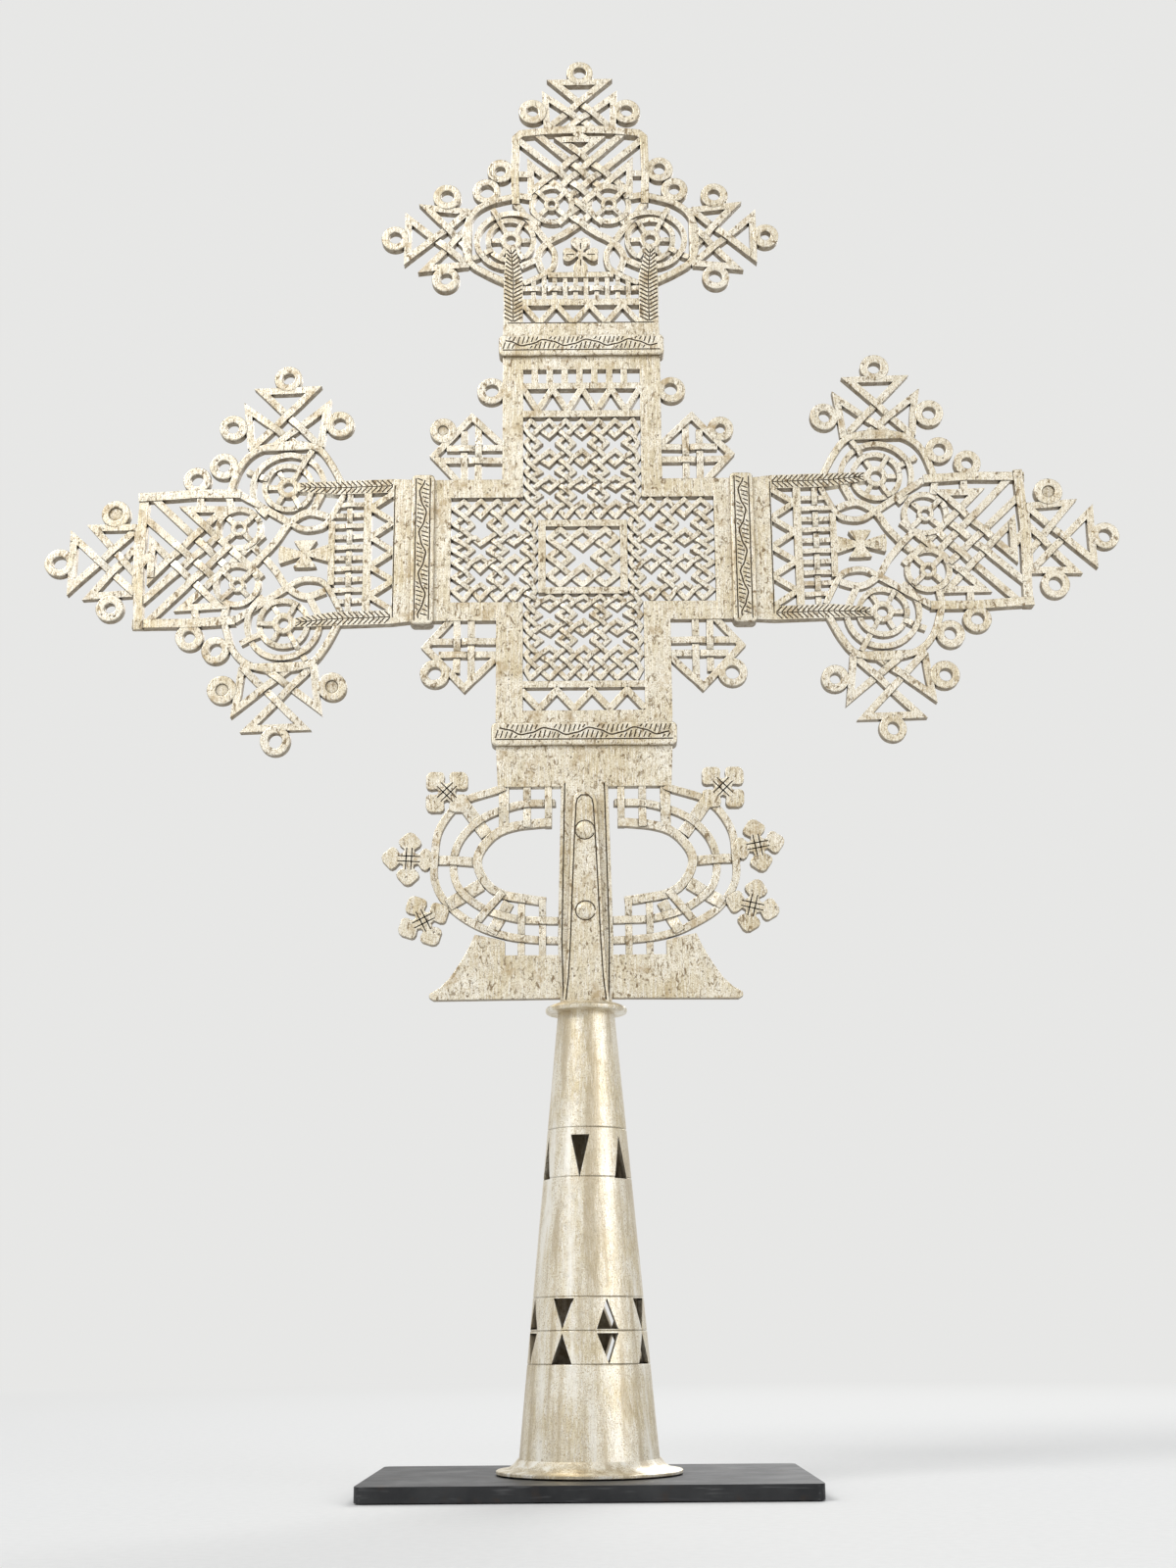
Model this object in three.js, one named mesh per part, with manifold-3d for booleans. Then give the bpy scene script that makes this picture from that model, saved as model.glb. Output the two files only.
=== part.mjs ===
// Processional cross: pierced cast plates on a conical staff socket, standing on a steel plate.
// Millimetres, +Z up, front towards -Y. Origin: middle of the stand plate's underside.

import * as THREE from 'three';
import { mergeVertices } from 'three/addons/utils/BufferGeometryUtils.js';
import Module from 'manifold-3d';

const wasm = await Module();
wasm.setup();

// Stand.
const standWidth = 150;
const standDepth = 100;
const standThick = 5;
const standCorner = 3;
const plugHeight = 30;
const plugFit = 0.4;
const plugChamfer = 1.5;
const screwRadius = 2.5;
const screwHeadRadius = 5;
const screwHeadHeight = 2.6;
const screwGrip = 16;
const screwSlotWidth = 1.4;
const screwSlotDepth = 1.2;

// Running clearance of the lifting cross, and the clearance between joined castings.
const runFit = 0.3;
const joinFit = 0.2;

// Staff socket.
const socketHeight = 157.7;
const socketFootRadius = 24.6;
const socketTopRadius = 10.3;
const socketWall = 2;
const roundSides = 24;
const flangeRadius = 32;
const flangeThick = 1.4;
const flangeRise = 5;
const collarRadius = 14.8;
const collarThick = 3.2;
const collarBore = 7.2;
const collarEdge = 2.3;

// Windows pierced in the socket: one high row and a low double row.
const highWindows = 6;
const highWindowFoot = 98.2;
const highWindowHeight = 15;
const lowWindows = 8;
const lowWindowFoot = 36;
const lowWindowHeight = 9.5;
const lowWindowGap = 2.2;
const windowWidth = 6.6;
const highWindowTurn = -10;
const lowWindowTurn = -26;

// Cast plates.
const plateThick = 4;
const strapWidth = 2.4;
const ringRadius = 5.3;
const ringBore = 2.1;
const ringSeat = 1;
const ringSides = 7;
const boreSides = 5;
const roundelSides = 8;

// Casting tolerances: the smallest hole kept open (square mm), and the least bend and step of an outline.
const pinhole = 6.8;
const leastBend = 0.2;
const leastStep = 0.8;

// Neck, straps and rivets.
const stemHalf = 8.8;
const stemFootHalf = 10.2;
const tangHalf = 6;
const tangLength = 14;
const clampThick = 3;
const clampHeight = 80.5;
const clampTopHalf = 5.2;
const clampFootHalf = 9;
const rivetRadius = 1.9;
const rivetHeadRadius = 3.5;
const rivetHeadHeight = 1.5;
const lowRivetUp = 34.3;
const highRivetUp = 64.8;

// Lower frame: heights above the collar.
const lowerHeight = 102.7;
const lowerPlateHeight = 20.5;
const lowerPlateFootHalf = 32.6;
const ovalUp = 53.3;
const ovalStart = 20;
const ovalReach = 35.8;
const ovalReachStep = 7.9;
const ovalHalfHeight = 28.9;
const ovalHeightStep = 7;
const ovalStrap = 2.8;
const ovalSteps = 6;
const slotWidth = 3.6;
const crossbarPitch = 7.8;
const wingRise = 2.4;
const wingHalf = 57.3;
const wingHeight = 21;
const wingTopHalf = 40;
const wingHole = 4.3;

// Bars across the three bands: their two ends, across and above the middle of the bows.
const radialWidth = 3.2;
const radialBars = [
  [[40, 1], [57.7, 3]],
  [[35.5, 10.5], [47.5, 23.2]],
  [[35, -9.5], [53.5, -15.5]],
];

// Small crosses: across, above the middle of the bows, and turned by degrees.
const terminalPlaces = [[51.8, 27.8, 45], [64.7, 4, 8], [60.8, -19.1, -38]];
const terminalArm = 8.2;
const terminalHalf = 3.2;
const terminalNeck = 1.4;

// Centre panel.
const panelHeight = 162.7;
const panelCentreUp = 75.5;
const panelReach = 62.2;
const uprightHalfTop = 31.4;
const uprightHalfFoot = 33.5;
const crossbarHalf = 29.6;
const latticeHalf = 23.2;
const crossbarLatticeHalf = 21.8;
const crossbarLatticeReach = 51.3;
const latticeColumns = 5;
const latticeRows = 4;
const latticeStrand = 2.2;
const crossbarColumns = 4;
const crossbarRows = 4;
const squareHalf = 15.6;
const squareBar = 2.9;
const squareStep = 7.9;
const squareHole = 2.35;
const panelBar = 3;
const panelZigzag = 8.8;
const panelZigzagTurns = 8;
const slotCount = 8;
const slotHeight = 5.8;
const slotBar = 2.5;
const latticeUp = 56;
const latticeDown = 54;
const bracketNear = 12;
const bracketFar = 27;
const bracketFoot = 17;
const bracketBarNear = 8.8;
const bracketBarStep = 5.5;

// Sleeves over the joints of the castings.
const bandWidth = 9.2;
const bandWall = 1.3;
const bandRidge = 1.7;
const bandRidgeRise = 0.5;

// Arm: lengths along it from the band's outer edge, and half widths across it.
const armStrip = 7;
const armZigzag = 8.5;
const armBar = 3;
const armBasket = 11;
const archBar = 2.5;
const archHalf = 12.5;
const basketBars = 6;
const sideStripInner = 24.5;
const sideStripOuter = 30.2;
const sideStripTipHalf = 1.8;
const hubAlong = 48.5;
const hubAcross = 28.3;
const hubRadius = 4.4;
const hubBore = 2;
const hubRing = 9.3;
const hubOuterRing = 14;
const roundelAlong = 67;
const roundelAcross = 11.7;
const roundelRing = 8.2;
const roundelHub = 3.3;
const roundelBore = 1.5;
const plaitStart = 57.5;
const plaitStep = 8.9;
const frameAlong = 105;
const frameHalf = 26.4;
const frameBar = 3.6;
const pattee = 9;
const crestAcross = 45.5;
const crestAlong = 50;
const crestHalf = 14.5;
const crestHeight = 25;
const crestSideHeight = 19.5;
const crestSideHalf = 17;
const sideArmLean = 0.03;
const topArmStretch = 0.9;

const brass = { color: 0xc9bf9c, roughness: 0.42, metalness: 0.9 };
const steel = { color: 0x4a4a4d, roughness: 0.5, metalness: 0.8 };

const half = plateThick / 2;
const footZ = standThick + runFit;
const collarZ = footZ + socketHeight;
const neckZ = collarZ + collarThick;
const lowJointZ = neckZ + lowerHeight;
const highJointZ = lowJointZ + panelHeight;
const centreZ = lowJointZ + panelCentreUp;

const part = new THREE.Group();

function add(name, geometry, look) {
  const mesh = new THREE.Mesh(closed(geometry), new THREE.MeshStandardMaterial(look));
  mesh.name = name;
  part.add(mesh);
  return mesh;
}

// Shared corners, and no triangle that has shrunk to a line on the axis of a turned piece.
function closed(geometry) {
  const bare = geometry.clone();
  bare.deleteAttribute('normal');
  bare.deleteAttribute('uv');
  const merged = mergeVertices(bare, 1e-5);
  const index = merged.index.array;
  const kept = [];
  for (let i = 0; i < index.length; i += 3) {
    const [a, b, c] = [index[i], index[i + 1], index[i + 2]];
    if (a !== b && b !== c && c !== a) kept.push(a, b, c);
  }
  merged.setIndex(kept);
  merged.computeVertexNormals();
  return merged;
}

function solidOf(geometry) {
  const merged = closed(geometry);
  return new wasm.Manifold(new wasm.Mesh({
    numProp: 3,
    vertProperties: new Float32Array(merged.attributes.position.array),
    triVerts: new Uint32Array(merged.index.array),
  }));
}

function geometryOf(solid) {
  const mesh = solid.getMesh();
  const geometry = new THREE.BufferGeometry();
  geometry.setAttribute('position', new THREE.BufferAttribute(mesh.vertProperties, 3));
  geometry.setIndex(new THREE.BufferAttribute(mesh.triVerts, 1));
  geometry.computeVertexNormals();
  return geometry;
}

function joined(solids) {
  let row = solids;
  while (row.length > 1) {
    const next = [];
    for (let i = 0; i < row.length; i += 2) {
      next.push(i + 1 < row.length ? row[i].add(row[i + 1]) : row[i]);
    }
    row = next;
  }
  return row[0];
}

function shapeOf(points) {
  return new THREE.Shape(points.map(([x, y]) => new THREE.Vector2(x, y)));
}

function prism(shape, depth) {
  return new THREE.ExtrudeGeometry(shape, { depth, bevelEnabled: false, steps: 1 });
}

// A flat casting: drawn in X and Z, extruded through the thickness around Y = 0, then pierced.
function casting(shape, thickness = plateThick) {
  const blank = solidOf(prism(new THREE.Shape(shape.getPoints()), thickness));
  const cutters = shape.holes.map((hole) => {
    const cutter = prism(new THREE.Shape(hole.getPoints()), 3 * thickness);
    return solidOf(cutter.translate(0, 0, -thickness));
  });
  const geometry = geometryOf(blank.subtract(joined(cutters)));
  geometry.translate(0, 0, -thickness / 2);
  geometry.rotateX(Math.PI / 2);
  return geometry;
}

// A piece turned about the Z axis from points of radius and height.
function turned(points, sides = roundSides) {
  const profile = points.map(([r, z]) => new THREE.Vector2(r, z));
  return new THREE.LatheGeometry(profile, sides).rotateX(Math.PI / 2);
}

// Polygons of a circle, a ring or an arc.
function circle(cx, cy, radius, sides) {
  const points = [];
  for (let i = 0; i < sides; i += 1) {
    const angle = (2 * Math.PI * (i + 0.5)) / sides;
    points.push([cx + radius * Math.cos(angle), cy + radius * Math.sin(angle)]);
  }
  return points;
}

function ring([cx, cy], outer, inner, sides, boreSides = sides) {
  const shape = shapeOf(circle(cx, cy, outer, sides));
  shape.holes.push(shapeOf(circle(cx, cy, inner, boreSides)));
  return [shape];
}

function arc([cx, cy], radius, fromDegrees, toDegrees, steps) {
  const points = [];
  for (let i = 0; i <= steps; i += 1) {
    const angle = ((fromDegrees + ((toDegrees - fromDegrees) * i) / steps) * Math.PI) / 180;
    points.push([cx + radius * Math.cos(angle), cy + radius * Math.sin(angle)]);
  }
  return points;
}

// A flat strap along a line of points, one mitred bar for each stretch.
function strap(points, width = strapWidth) {
  const bars = [];
  const sides = points.map((point, i) => {
    const before = points[i - 1] ?? point;
    const after = points[i + 1] ?? point;
    const into = direction(before, i > 0 ? point : after);
    const out = direction(i < points.length - 1 ? point : before, after);
    const bisector = [into[0] + out[0], into[1] + out[1]];
    const size = Math.hypot(bisector[0], bisector[1]);
    const tangent = [bisector[0] / size, bisector[1] / size];
    const spread = Math.max(0.36, tangent[0] * into[0] + tangent[1] * into[1]);
    const reach = width / 2 / spread;
    return [-tangent[1] * reach, tangent[0] * reach];
  });
  for (let i = 0; i + 1 < points.length; i += 1) {
    const [a, b] = [points[i], points[i + 1]];
    const [s, t] = [sides[i], sides[i + 1]];
    bars.push(shapeOf([
      [a[0] - s[0], a[1] - s[1]],
      [b[0] - t[0], b[1] - t[1]],
      [b[0] + t[0], b[1] + t[1]],
      [a[0] + s[0], a[1] + s[1]],
    ]));
  }
  return bars;
}

function direction(from, to) {
  const size = Math.hypot(to[0] - from[0], to[1] - from[1]);
  return [(to[0] - from[0]) / size, (to[1] - from[1]) / size];
}

// Joins flat shapes into one shape with its holes: the outline of their common front face.
function merge(shapes, cuts = []) {
  let body = joined(shapes.map((shape) => solidOf(prism(shape, 1))));
  for (const cut of cuts) {
    body = body.subtract(solidOf(prism(cut, 3).translate(0, 0, -1)));
  }
  const mesh = body.getMesh();
  const at = (i) => [mesh.vertProperties[3 * i], mesh.vertProperties[3 * i + 1]];
  const isFront = (i) => mesh.vertProperties[3 * i + 2] > 0.5;
  const edges = new Map();
  for (let i = 0; i < mesh.triVerts.length; i += 3) {
    const corners = [mesh.triVerts[i], mesh.triVerts[i + 1], mesh.triVerts[i + 2]];
    if (corners.every(isFront)) {
      for (let k = 0; k < 3; k += 1) {
        const [from, to] = [corners[k], corners[(k + 1) % 3]];
        if (!edges.delete(`${to},${from}`)) edges.set(`${from},${to}`, [from, to]);
      }
    }
  }
  const next = new Map([...edges.values()]);
  const loops = [];
  while (next.size > 0) {
    const loop = [];
    let here = next.keys().next().value;
    while (next.has(here)) {
      const there = next.get(here);
      next.delete(here);
      loop.push(at(here));
      here = there;
    }
    loops.push(tidy(loop));
  }
  const areas = loops.map((loop) => area(loop));
  const outer = areas.indexOf(Math.max(...areas));
  const result = shapeOf(loops[outer]);
  loops.forEach((loop, i) => {
    if (i !== outer && loop.length > 2 && areas[i] < -pinhole) result.holes.push(shapeOf(loop));
  });
  return result;
}

function area(loop) {
  let sum = 0;
  loop.forEach(([x, y], i) => {
    const [u, v] = loop[(i + 1) % loop.length];
    sum += x * v - u * y;
  });
  return sum / 2;
}

// Drops points that lie on the line between their neighbours or nearly on one another.
function tidy(loop) {
  let points = loop;
  let count = 0;
  while (count !== points.length && points.length > 3) {
    count = points.length;
    for (let i = 0; i < points.length && points.length > 3; i += 1) {
      const a = points[(i + points.length - 1) % points.length];
      const b = points[i];
      const c = points[(i + 1) % points.length];
      const base = Math.hypot(c[0] - a[0], c[1] - a[1]);
      const off = Math.abs((b[0] - a[0]) * (c[1] - a[1]) - (b[1] - a[1]) * (c[0] - a[0])) / base;
      if (off < leastBend || Math.hypot(b[0] - c[0], b[1] - c[1]) < leastStep) {
        points = points.filter((_, k) => k !== i);
      }
    }
  }
  return points;
}

// The four-pointed gap left where the plait turns back on itself.
function star(x, y, reachX, reachY, waist) {
  return shapeOf([
    [x - reachX, y - reachY], [x, y - waist], [x + reachX, y - reachY], [x + waist, y],
    [x + reachX, y + reachY], [x, y + waist], [x - reachX, y + reachY], [x - waist, y],
  ]);
}

function zigzag(fromX, toX, low, high, turns) {
  const points = [];
  for (let i = 0; i <= turns; i += 1) {
    points.push([fromX + ((toX - fromX) * i) / turns, i % 2 === 0 ? low : high]);
  }
  return points;
}

const mirrored = (points) => points.map(([x, y]) => [-x, y]);
const bothSides = (draw) => [...draw((p) => p), ...draw(mirrored)];

// A crest of three interlaced straps with its three rings, pointing up from its base line.
function crest(place) {
  const line = (points, width) => strap(points.map(place), width);
  const knot = [
    [-crestHalf, 0], [crestHalf - 1, crestHeight], [1 - crestHalf, crestHeight], [crestHalf, 0],
  ];
  const side = [[-crestHalf, 0], [-crestSideHalf, crestSideHeight], [crestHalf / 2.4, 0]];
  const ringAt = (q, p) => ring(place([q, p]), ringRadius, ringBore, ringSides, boreSides);
  return [
    ...line(knot),
    ...line(side),
    ...line(mirrored(side)),
    ...line([[-crestHalf, 0], [crestHalf, 0]]),
    ...ringAt(0, crestHeight + ringRadius),
    ...ringAt(crestSideHalf + ringRadius - ringSeat, crestSideHeight / 2),
    ...ringAt(-crestSideHalf - ringRadius + ringSeat, crestSideHeight / 2),
  ];
}

// One arm of the cross, pointing up, its root in the band at rootHalf.
function armOutline(rootHalf, stretch, lean) {
  const put = ([b, a]) => [b - lean * Math.max(0, a), a * (a > 0 ? stretch : 1)];
  const line = (points, width) => strap(points.map(put), width);
  const poly = (points) => shapeOf(points.map(put));
  const zigzagTop = armStrip + armZigzag;
  const barTop = zigzagTop + armBar;
  const basketTop = barTop + armBasket;
  const archTop = basketTop + archBar;
  const root = -bandWidth / 2 + joinFit / 2;
  const crossing = (k) => plaitStart + k * plaitStep;
  const outline = [
    poly([[-rootHalf, root], [rootHalf, root], [rootHalf, 0], [sideStripOuter, armStrip],
      [-sideStripOuter, armStrip], [-rootHalf, 0]]),
    ...line(zigzag(-sideStripInner, sideStripInner, armStrip, zigzagTop, 8), 2.1),
    poly([[-sideStripInner, zigzagTop], [sideStripInner, zigzagTop],
      [sideStripInner, barTop], [-sideStripInner, barTop]]),
    poly([[-archHalf, basketTop], [archHalf, basketTop], [archHalf, archTop], [-archHalf, archTop]]),
    ...line([[-sideStripInner, (barTop + basketTop) / 2], [sideStripInner, (barTop + basketTop) / 2]], 2),
  ];
  for (let i = 0; i < basketBars; i += 1) {
    const b = ((i - (basketBars - 1) / 2) * 2 * sideStripInner) / (basketBars + 1);
    const over = Math.max(0, Math.abs(b) - archHalf) / (sideStripInner - archHalf);
    outline.push(...line([[b, barTop], [b, archTop - over * 5]], 2));
  }
  // Small cross in the arch, on its base bar.
  outline.push(...patteeCross(put, archTop, archTop + pattee + 0.5));
  outline.push(...bothSides((side) => [
    // Side strip up to the big roundel.
    poly(side([[sideStripInner, armStrip - 0.1], [sideStripOuter, armStrip - 0.1],
      [sideStripOuter, basketTop], [hubAcross + sideStripTipHalf, hubAlong - hubRadius + 0.8],
      [hubAcross - sideStripTipHalf, hubAlong - hubRadius + 0.8], [sideStripInner, basketTop]])),
    // Foot of the arch and the inner bow of its leaf.
    ...line(side([[sideStripInner, archTop - 5.5], [archHalf, archTop + 1], [archHalf - 2.6, archTop + 7],
      [archHalf - 0.8, archTop + 13.2]]), 2.6),
    // Outer bow, crossing at the apex into the small roundel.
    ...line(side([[archHalf + 3, archTop + 0.6], [archHalf + 5, archTop + 8.5], [archHalf + 0.8, archTop + 15.5],
      [archHalf / 2, crossing(0) - 5.3], [0, crossing(0)], [-4.2, crossing(0) + 4.2]])),
    // Straps from the leaf to the side strip and to the frame.
    ...line(side([[sideStripInner + 1, archTop + 3.2], [archHalf + 4.6, archTop + 7.2]])),
    ...line(side([[archHalf + 1, archTop + 15.5], [frameHalf, roundelAlong + 0.5]])),
    // Big roundel: hub, spoked ring and outer ring.
    ...ring(put([side([[hubAcross, 0]])[0][0], hubAlong]), hubRadius, hubBore, 6, boreSides),
    ...ring(put([side([[hubAcross, 0]])[0][0], hubAlong]), hubRing + 1.05, hubRing - 1.05, roundelSides),
    ...hubArms(side, put),
    // Outline from the side strip round the roundel to the frame.
    ...line(side([[sideStripOuter - 1, barTop + 9], [hubAcross + 10.5, archTop + 0.5],
      [crestAcross - 0.5, hubAlong - 10.5], [crestAcross + 1.5, hubAlong],
      [crestAcross - 0.5, hubAlong + 12], [hubAcross + 10, roundelAlong + 0.5], [frameHalf, roundelAlong + 4.5]]), 2.8),
    // Small roundel: ring, hub and four spokes.
    ...ring(put([side([[roundelAcross, 0]])[0][0], roundelAlong]), roundelRing + 1.1, roundelRing - 1.1, roundelSides),
    ...ring(put([side([[roundelAcross, 0]])[0][0], roundelAlong]), roundelHub, roundelBore, 6),
    ...spokes(side, put, roundelAcross, roundelAlong, roundelHub - 0.4, roundelRing, 4, 45, 2),
    // Strap from the small roundel across the frame.
    ...line(side([[roundelAcross + roundelRing, roundelAlong + 3.5], [frameHalf, roundelAlong + 4.8]])),
    // Plait between the roundels and the frame.
    ...line(side([[-roundelRing - 0.7, crossing(0)], [21.3, crossing(3) + 4.6], [20.6, crossing(2) - 2.4],
      [-9.6, frameAlong - 3.7], [9.6, frameAlong - 3.7]])),
    ...line(side([[-4.7, crossing(2) - 4.7], [frameHalf - 0.5, frameAlong - 4]])),
    ...line(side([[-plaitStep, crossing(2)], [frameHalf - 8.6, frameAlong - 1]])),
    ...line(side([[20.6, crossing(3) - 1.5], [frameHalf, crossing(3) - 1.5]])),
    // Frame.
    ...line(side([[frameHalf, roundelAlong], [frameHalf, frameAlong + frameBar / 2]]), frameBar),
    // Shoulder rings.
    ...ring(put([side([[frameHalf + 6.3, 0]])[0][0], crossing(3) + 0.3]), ringRadius, ringBore, ringSides, boreSides),
    ...ring(put([side([[frameHalf + 12, 0]])[0][0], crossing(2) - 1.3]), ringRadius, ringBore, ringSides, boreSides),
    // Crest on the roundel, pointing away from the arm.
    ...crest(([q, p]) => put(side([[crestAcross + p, crestAlong - q]])[0])),
  ]));
  outline.push(...line([[-2.2, frameAlong], [2.2, frameAlong - 4]], 3));
  outline.push(...line([[-frameHalf, frameAlong], [frameHalf, frameAlong]], frameBar));
  outline.push(...crest(([q, p]) => put([q, frameAlong + frameBar / 2 - 0.4 + p])));
  return merge(outline);
}

function patteeCross(put, foot, middle) {
  const reach = middle - foot;
  const wedge = (turn, length, halfWidth) => {
    const [c, s] = [Math.cos(turn), Math.sin(turn)];
    const points = [[-0.8, -0.4], [0.8, -0.4], [halfWidth, length], [-halfWidth, length]];
    return shapeOf(points.map(([x, y]) => put([x * c - y * s, middle + x * s + y * c])));
  };
  return [
    wedge(0, reach - 1, 4.4),
    wedge(Math.PI, reach + 0.2, 3.4),
    wedge(Math.PI / 2, 7, 3.5),
    wedge(-Math.PI / 2, 7, 3.5),
  ];
}

function spokes(side, put, across, along, from, to, count, turn, width) {
  const bars = [];
  const centre = put([side([[across, 0]])[0][0], along]);
  for (let i = 0; i < count; i += 1) {
    const angle = ((turn + (360 * i) / count) * Math.PI) / 180;
    const [c, s] = [Math.cos(angle), Math.sin(angle)];
    bars.push(...strap([[centre[0] + from * c, centre[1] + from * s],
      [centre[0] + to * c, centre[1] + to * s]], width));
  }
  return bars;
}

// Spokes of the big roundel and its outer ring, which stops at the side strip and the frame strap.
function hubArms(side, put) {
  const centre = put([side([[hubAcross, 0]])[0][0], hubAlong]);
  const flip = side([[1, 0]])[0][0];
  const around = arc([0, 0], hubOuterRing, -92, 145, 5).map(([x, y]) => [centre[0] + flip * x, centre[1] + y]);
  const bars = [...strap(around, 2.2)];
  bars.push(...spokes(side, put, hubAcross, hubAlong, hubRadius - 0.5, hubRing, 6, 0, 1.9));
  for (const degrees of [-30, 65]) {
    const angle = (degrees * Math.PI) / 180;
    const [c, s] = [flip * Math.cos(angle), Math.sin(angle)];
    bars.push(...strap([[centre[0] + hubRing * c, centre[1] + hubRing * s],
      [centre[0] + (hubOuterRing + 4) * c, centre[1] + (hubOuterRing + 4) * s]], 2.2));
  }
  return bars;
}

// Radius of the socket at a height above its foot.
function socketRadius(z) {
  return socketFootRadius + ((socketTopRadius - socketFootRadius) * z) / socketHeight;
}

// The hollow cone of the socket with its triangular windows.
function socketGeometry() {
  const cone = turned([
    [socketFootRadius, 0],
    [socketTopRadius, socketHeight],
    [socketTopRadius - socketWall, socketHeight],
    [socketFootRadius - socketWall, 0],
    [socketFootRadius, 0],
  ]);
  let body = solidOf(cone);
  const pierce = (degrees, foot, height, pointUp) => {
    const [base, tip] = pointUp ? [foot, foot + height] : [foot + height, foot];
    const outline = shapeOf(pointUp
      ? [[-windowWidth / 2, base], [windowWidth / 2, base], [0, tip]]
      : [[0, tip], [windowWidth / 2, base], [-windowWidth / 2, base]]);
    const cutter = prism(outline, 2 * socketFootRadius).rotateX(Math.PI / 2);
    body = body.subtract(solidOf(cutter.rotateZ((degrees * Math.PI) / 180)));
  };
  for (let i = 0; i < highWindows; i += 1) {
    pierce(highWindowTurn + (360 * i) / highWindows, highWindowFoot, highWindowHeight, i % 2 === 1);
  }
  for (let i = 0; i < lowWindows; i += 1) {
    const degrees = lowWindowTurn + (360 * i) / lowWindows;
    const upperFoot = lowWindowFoot + lowWindowHeight + lowWindowGap;
    pierce(degrees, lowWindowFoot, lowWindowHeight, i % 2 === 0);
    pierce(degrees, upperFoot, lowWindowHeight, i % 2 === 1);
  }
  return geometryOf(body).translate(0, 0, footZ);
}

// The thin foot ring, brazed round the socket.
function flangeGeometry() {
  const inner = (z) => socketRadius(z) + joinFit;
  return turned([
    [inner(0), 0],
    [flangeRadius, 0],
    [flangeRadius, flangeThick],
    [inner(0) + 2.6, flangeThick + 1.1],
    [inner(flangeRise) + 1, flangeRise],
    [inner(flangeRise), flangeRise],
    [inner(0), 0],
  ]).translate(0, 0, footZ);
}

// The collar between the socket and the cross, with its bevelled edge.
function collarGeometry() {
  return turned([
    [collarBore, 0],
    [collarRadius - 0.8, 0],
    [collarRadius, 0.8],
    [collarRadius, collarThick / 2],
    [collarRadius - collarEdge, collarThick],
    [collarBore, collarThick],
    [collarBore, 0],
  ]).translate(0, 0, collarZ);
}

// The tapered plug on the stand, and the countersunk screw that holds it from below.
function plugGeometry() {
  const outer = (z) => socketRadius(z) - socketWall - plugFit;
  return turned([
    [screwRadius + joinFit, 0],
    [outer(0), 0],
    [outer(plugHeight - plugChamfer), plugHeight - plugChamfer],
    [outer(plugHeight) - plugChamfer, plugHeight],
    [0, plugHeight],
    [0, screwGrip + 1],
    [screwRadius + joinFit, screwGrip],
    [screwRadius + joinFit, 0],
  ]).translate(0, 0, footZ);
}

function screwGeometry() {
  const sunk = 0.3;
  const body = solidOf(turned([
    [0, sunk],
    [screwHeadRadius, sunk],
    [screwRadius, sunk + screwHeadHeight],
    [screwRadius, footZ + screwGrip - 1],
    [0, footZ + screwGrip - 0.3],
  ], 16));
  const slot = new THREE.BoxGeometry(3 * screwHeadRadius, screwSlotWidth, 2 * screwSlotDepth);
  return geometryOf(body.subtract(solidOf(slot.translate(0, 0, sunk))));
}

function standGeometry() {
  const [x, y, r] = [standWidth / 2, standDepth / 2, standCorner];
  const outline = new THREE.Shape();
  outline.moveTo(-x + r, -y);
  outline.lineTo(x - r, -y);
  outline.absarc(x - r, -y + r, r, -Math.PI / 2, 0);
  outline.absarc(x - r, y - r, r, 0, Math.PI / 2);
  outline.absarc(-x + r, y - r, r, Math.PI / 2, Math.PI);
  outline.absarc(-x + r, -y + r, r, Math.PI, 1.5 * Math.PI);
  const plate = new THREE.ExtrudeGeometry(outline, { depth: standThick, bevelEnabled: false, curveSegments: 3 });
  const sink = turned([
    [0, -1],
    [screwHeadRadius + joinFit, -1],
    [screwHeadRadius + joinFit, 0.3],
    [screwRadius + joinFit, 0.3 + screwHeadHeight],
    [screwRadius + joinFit, standThick + 1],
    [0, standThick + 1],
  ], 16);
  return geometryOf(solidOf(plate).subtract(solidOf(sink)));
}

// A strap of the neck: broad at the collar, round at its top, with the two rivet holes.
function clampShape() {
  const top = clampHeight - clampTopHalf;
  const side = (sign) => [
    [clampFootHalf, 0], [clampFootHalf - 1, 4], [clampTopHalf + 1.8, 14], [clampTopHalf + 0.8, 34],
    [clampTopHalf, top],
  ].map(([x, z]) => [sign * x, z]);
  const round = arc([0, top], clampTopHalf, 0, 180, 8).slice(1, -1);
  const shape = shapeOf([...side(1), ...round, ...side(-1).reverse()]);
  shape.holes.push(...rivetHoles());
  return shape;
}

function rivetHoles() {
  const hole = (z) => shapeOf(circle(0, z, rivetRadius + joinFit, 12));
  return [hole(lowRivetUp), hole(highRivetUp)];
}

// A rivet through both straps and the stem, with a low round head on each side.
function rivetGeometry(up) {
  const reach = half + clampThick;
  const profile = [
    [0, -reach - rivetHeadHeight], [0.6 * rivetHeadRadius, -reach - 0.8 * rivetHeadHeight],
    [rivetHeadRadius, -reach], [rivetRadius, -reach], [rivetRadius, reach],
    [rivetHeadRadius, reach], [0.6 * rivetHeadRadius, reach + 0.8 * rivetHeadHeight],
    [0, reach + rivetHeadHeight],
  ].map(([r, y]) => new THREE.Vector2(r, y));
  return new THREE.LatheGeometry(profile, 12).translate(0, 0, neckZ + up);
}

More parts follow.
